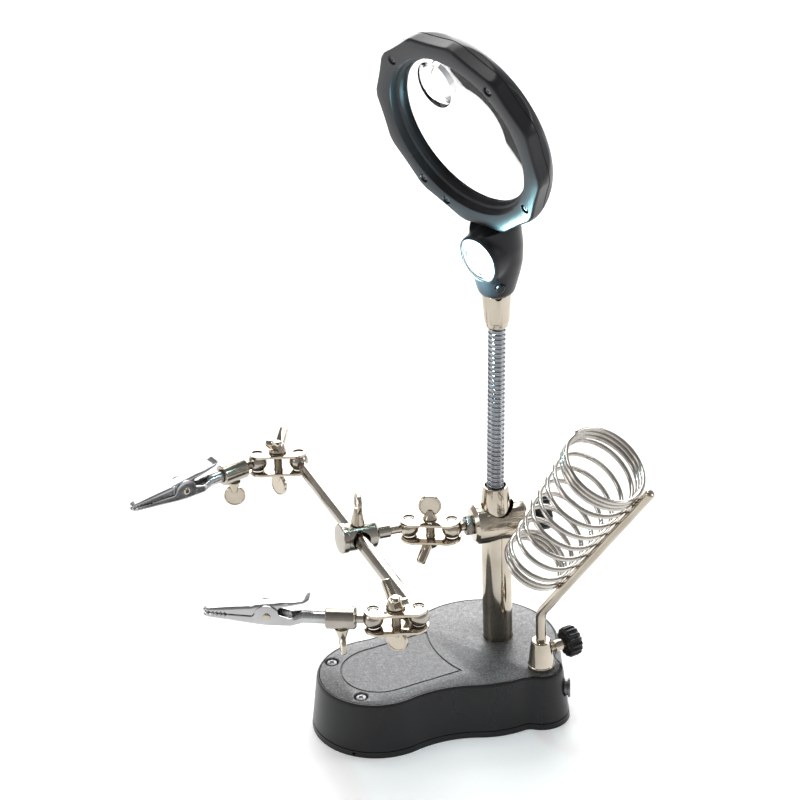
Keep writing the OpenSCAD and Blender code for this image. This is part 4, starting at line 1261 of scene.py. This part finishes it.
def upper_jaw(end):
    stations = []
    for x in [-16.0, -15.6, -15.0, -14.2] + jaw_stops(-13.4):
        roof = between(
            x, (-16, 8.1), (-15.5, 7.75), (-14.4, 7.15), (-7, 5.75), (0, 4.8), (12, 3.2),
            (22.5, 1.7), (TIP_X, 1.2),
        ) - SHEET / 2
        if abs(x) < CHEEK_R:
            edge = -sqrt(CHEEK_R**2 - x * x)
        elif x < 0:
            edge = between(
                x, (-16, roof - 0.35), (-9, roof - 0.8), (-4.6, roof - 1.6), (-CHEEK_R, 0),
            )
        else:
            edge = between(x, (CHEEK_R, 0), (5.0, SPLIT)) if x < 5 else tooth_edge(x, 15.2, SPLIT)
        hw = min(
            jaw_width(x), between(x, (-9, JAW_W / 2 - 0.3), (-5.2, 2.2), (5.0, 2.2), (6.4, 3.0)),
        )
        hw *= between(x, (22.5, 1), (TIP_X, 0.72)) * between(x, (-16, 0.8), (-14.5, 1))
        stations.append((x, channel(hw, roof, edge, 0.8)))
    obj = sheet_part(end + "_jaw_upper_sheet", stations, CLIPS[end])
    combine(obj, [rod("cut", -6, 6, 1.05, CLIPS[end] @ turn("Z", 90), 0.01, 32)])
    return finish(obj, end + "_clip_upper_jaw", JAW, 40)


def clip_pin_and_spring(end):
    across = CLIPS[end] @ turn("Z", 90)
    half = JAW_W / 2
    line = [
        (-half - 0.6, 0), (-half - 0.6, 0.9), (-half - 0.45, 1.35), (-half - 0.1, 1.5),
        (-half - 0.05, 0.98),
    ]
    pin = lathe(end + "_pin_rivet", line + [(-x, r) for x, r in reversed(line)], across, 40, 0.1)
    finish(pin, end + "_clip_pin", NICKEL)
    turns, r, wire = 3.5, 1.42, 0.3
    path = []
    for t in range(61):
        a = 2 * pi * turns * t / 60
        path.append((0.8 - 1.6 * t / 60, r * cos(a), r * sin(a)))
    spring = sweep(end + "_spring_wire", path, wire, 10, across)
    finish(spring, end + "_clip_spring", SPRING, 60)


# ---- iron rest
ROD_R, WIRE_R, COIL_LOW, COIL_TOP = 2.0, 0.95, 15.0, 79.0
LOW_R, TOP_R, LOW_TURNS, OPEN_TURNS, TOP_TURNS, CLOSE = 12.0, 16.5, 2.5, 7, 3, 2.05


def coil_point(n):
    """Point after n turns of the coil: close turns at both ends, open ones between."""
    turns = LOW_TURNS + OPEN_TURNS + TOP_TURNS
    pitch = (COIL_TOP - COIL_LOW - (LOW_TURNS + TOP_TURNS) * CLOSE) / OPEN_TURNS
    if n < LOW_TURNS:
        s = COIL_LOW + n * CLOSE
    elif n < LOW_TURNS + OPEN_TURNS:
        s = COIL_LOW + LOW_TURNS * CLOSE + (n - LOW_TURNS) * pitch
    else:
        s = COIL_TOP - (turns - n) * CLOSE
    r = LOW_R + (TOP_R - LOW_R) * (s - COIL_LOW) / (COIL_TOP - COIL_LOW)
    a = radians(360 * n + 180)
    return (ROD_R + WIRE_R + r + r * cos(a), r * sin(a), s)


def iron_rest():
    r, top = 5.4, 35.5
    tall = REST @ turn("Y", -90)
    line = [
        (14, 0), (14, 2.95), (22.9, 2.95), (23.02, r - 0.1), (24.4, r - 0.05), (24.8, r - 0.35),
        (top - 0.5, 3.95), (top, 3.5), (top, 0),
    ]
    socket = lathe("rest_cone", line, tall, 96, 0.3)
    knob_at = REST @ shift(0, 0, 30) @ turn("Z", 64.5)
    combine(
        socket, [rod("cut", 19.6, 40, 2.07, tall, 0.01), rod("cut", 0, 12, 1.78, knob_at, 0.01)],
    )
    finish(soften(socket, 0.2), "rest_socket", NICKEL)
    screw = threaded("rest_thread", 2.1, 11, 1.68, knob_at, 0.7, 0.22)
    combine(
        screw,
        [lathe(
            "collar", [(6, 0), (6, 2.0), (6.3, 2.3), (10.75, 2.3), (10.75, 0)], knob_at, 40, 0.2,
        )],
        "UNION",
    )
    combine(screw, [rod("core", 10.5, 14.6, 1.66, knob_at, 0.1)], "UNION")
    finish(screw, "rest_screw", NICKEL)
    fluted_knob("rest_knob_cap", "rest_knob", 10.85, 6.2, 5.6, 1.72, knob_at)
    slope, bend_r, bend_z, foot, length = 35.0, 9.0, 48.0, 20.0, 85.0
    tangent = bend_r * math.tan(radians(slope / 2))
    path = [(0, 0, foot + (bend_z - tangent - foot) * t / 4) for t in range(4)]
    for i in range(15):
        a = radians(slope * i / 14)
        path.append((bend_r - bend_r * cos(a), 0, bend_z - tangent + bend_r * sin(a)))
    s, c = sin(radians(slope)), cos(radians(slope))
    path += [
        (s * d, 0, bend_z + c * d)
        for d in [tangent + (length - tangent) * t / 12 for t in range(1, 13)]
    ]
    path, radii = end_rounded(path, 1.2)
    radii = [ROD_R - 1.2 + q for q in radii]
    finish(sweep("rest_rod_bent", path, ROD_R, 40, REST, radii), "rest_rod", NICKEL, 50)
    turns = LOW_TURNS + OPEN_TURNS + TOP_TURNS
    count = int(turns * 44)
    wire, radii = end_rounded([coil_point(turns * i / count) for i in range(count + 1)], WIRE_R)
    coil = sweep("rest_coil_wire", wire, WIRE_R, 16, REST_ROD @ turn("Z", 180), radii)
    finish(coil, "rest_coil", COIL, 60)


# ---- carried-over CAD nodes
def repaint():
    """CAD nodes whose shapes are right keep them, with rounded edges and a finer material."""
    for node, material, width in (
        ("base_bottom_cover", SHELL, 0.25), ("battery_door", SATIN, 0.2),
        ("battery_cells", CELLS, 0.5), ("ballast_weight", IRON, 0.8),
    ):
        obj = frame["nodes"][node]
        obj.data.materials.clear()
        obj.data.materials.append(material)
        mod = obj.modifiers.new("edges", "BEVEL")
        mod.width, mod.segments, mod.limit_method = width * MM, 2, "ANGLE"
        mod.angle_limit = radians(40)


# ---- studio
def studio():
    """White floor, four soft lights and a dim sky."""
    reach = 6000
    corners = [(x * reach, y * reach, 0) for x, y in ((-1, -1), (1, -1), (1, 1), (-1, 1))]
    floor = raw("studio_floor", corners, [(0, 1, 2, 3)])
    paper = Nodes("white_paper")
    paper.feed(Base_Color=paper.ramp(
        paper.noise(3), (0.3, (0.90, 0.90, 0.90)), (0.7, (0.92, 0.92, 0.92)),
    ))
    paper.set(Roughness=0.75, Emission_Color=(1, 1, 1, 1), Emission_Strength=0.20)
    floor.data.materials.append(paper.mat)
    lights = [
        ("back", (0.85, 1.62, 0.92), 1.75, 56.0, (1.0, 1.0, 1.0)),
        ("top", (0.15, 0.55, 2.05), 1.2, 18.0, (1.0, 0.995, 0.985)),
        ("left", (-1.95, 0.15, 0.95), 0.9, 7.0, (1.0, 0.99, 0.97)),
        ("right", (1.75, -0.75, 1.0), 0.7, 7.0, (0.97, 0.985, 1.0)),
    ]
    aim = Vector((-0.01, 0, 0.12))
    for name, place, size, power, colour in lights:
        data = bpy.data.lights.new(name, "AREA")
        data.shape, data.size, data.energy, data.color = "SQUARE", size, power, colour
        source = put(name, data)
        source.location = place
        source.rotation_euler = (aim - Vector(place)).to_track_quat("-Z", "Y").to_euler()
    world = bpy.data.worlds.new("studio_air")
    bpy.context.scene.world = world
    world.use_nodes = True
    tree = world.node_tree
    back = tree.nodes["Background"]
    place = tree.nodes.new("ShaderNodeTexCoord")
    split = tree.nodes.new("ShaderNodeSeparateXYZ")
    ramp = tree.nodes.new("ShaderNodeValToRGB")
    tree.links.new(place.outputs["Generated"], split.inputs[0])
    tree.links.new(split.outputs["Z"], ramp.inputs["Fac"])
    marks = ramp.color_ramp.elements
    for at, shade in ((0.0, 0.6), (0.04, 0.22), (0.22, 0.06), (0.75, 0.05), (1.0, 0.16)):
        mark = marks[0] if at == 0.0 else (marks[1] if at == 1.0 else marks.new(at))
        mark.position, mark.color = at, (shade, shade, shade, 1)
    tree.links.new(ramp.outputs["Color"], back.inputs["Color"])
    back.inputs["Strength"].default_value = 1.0
    bpy.context.scene.view_settings.view_transform = "Standard"


LENS_MM, SENSOR_MM = 117.857, 36.0
CAMERA_AT = Vector((-405.797, -792.771, 609.071))


def camera():
    data = bpy.data.cameras.new("camera")
    data.lens, data.sensor_width = LENS_MM, SENSOR_MM
    obj = put("camera", data)
    right = Vector((0.90034675, -0.43404415, -0.03132722))
    up = Vector((0.23010945, 0.41374665, 0.88083105))
    back = Vector((-0.36935804, -0.80026207, 0.47239312))
    m = Matrix((right, up, back)).transposed().to_4x4()
    m.translation = CAMERA_AT * MM
    obj.matrix_world = m
    bpy.context.scene.camera = obj


camera()
studio()
repaint()
base_housing()
base_top_plate()
plate_screws()
power_socket()
post()
gooseneck()
neck_ferrule()
magnifier_frame()
front_bezel()
bezel_screws()
lenses()
lamp()
light_button()
post_clamp()
links()
bar_clamp()
cross_bar()
for end in ("rear", "front"):
    clip_holder(end)
    lower_jaw(end)
    upper_jaw(end)
    clip_pin_and_spring(end)
iron_rest()
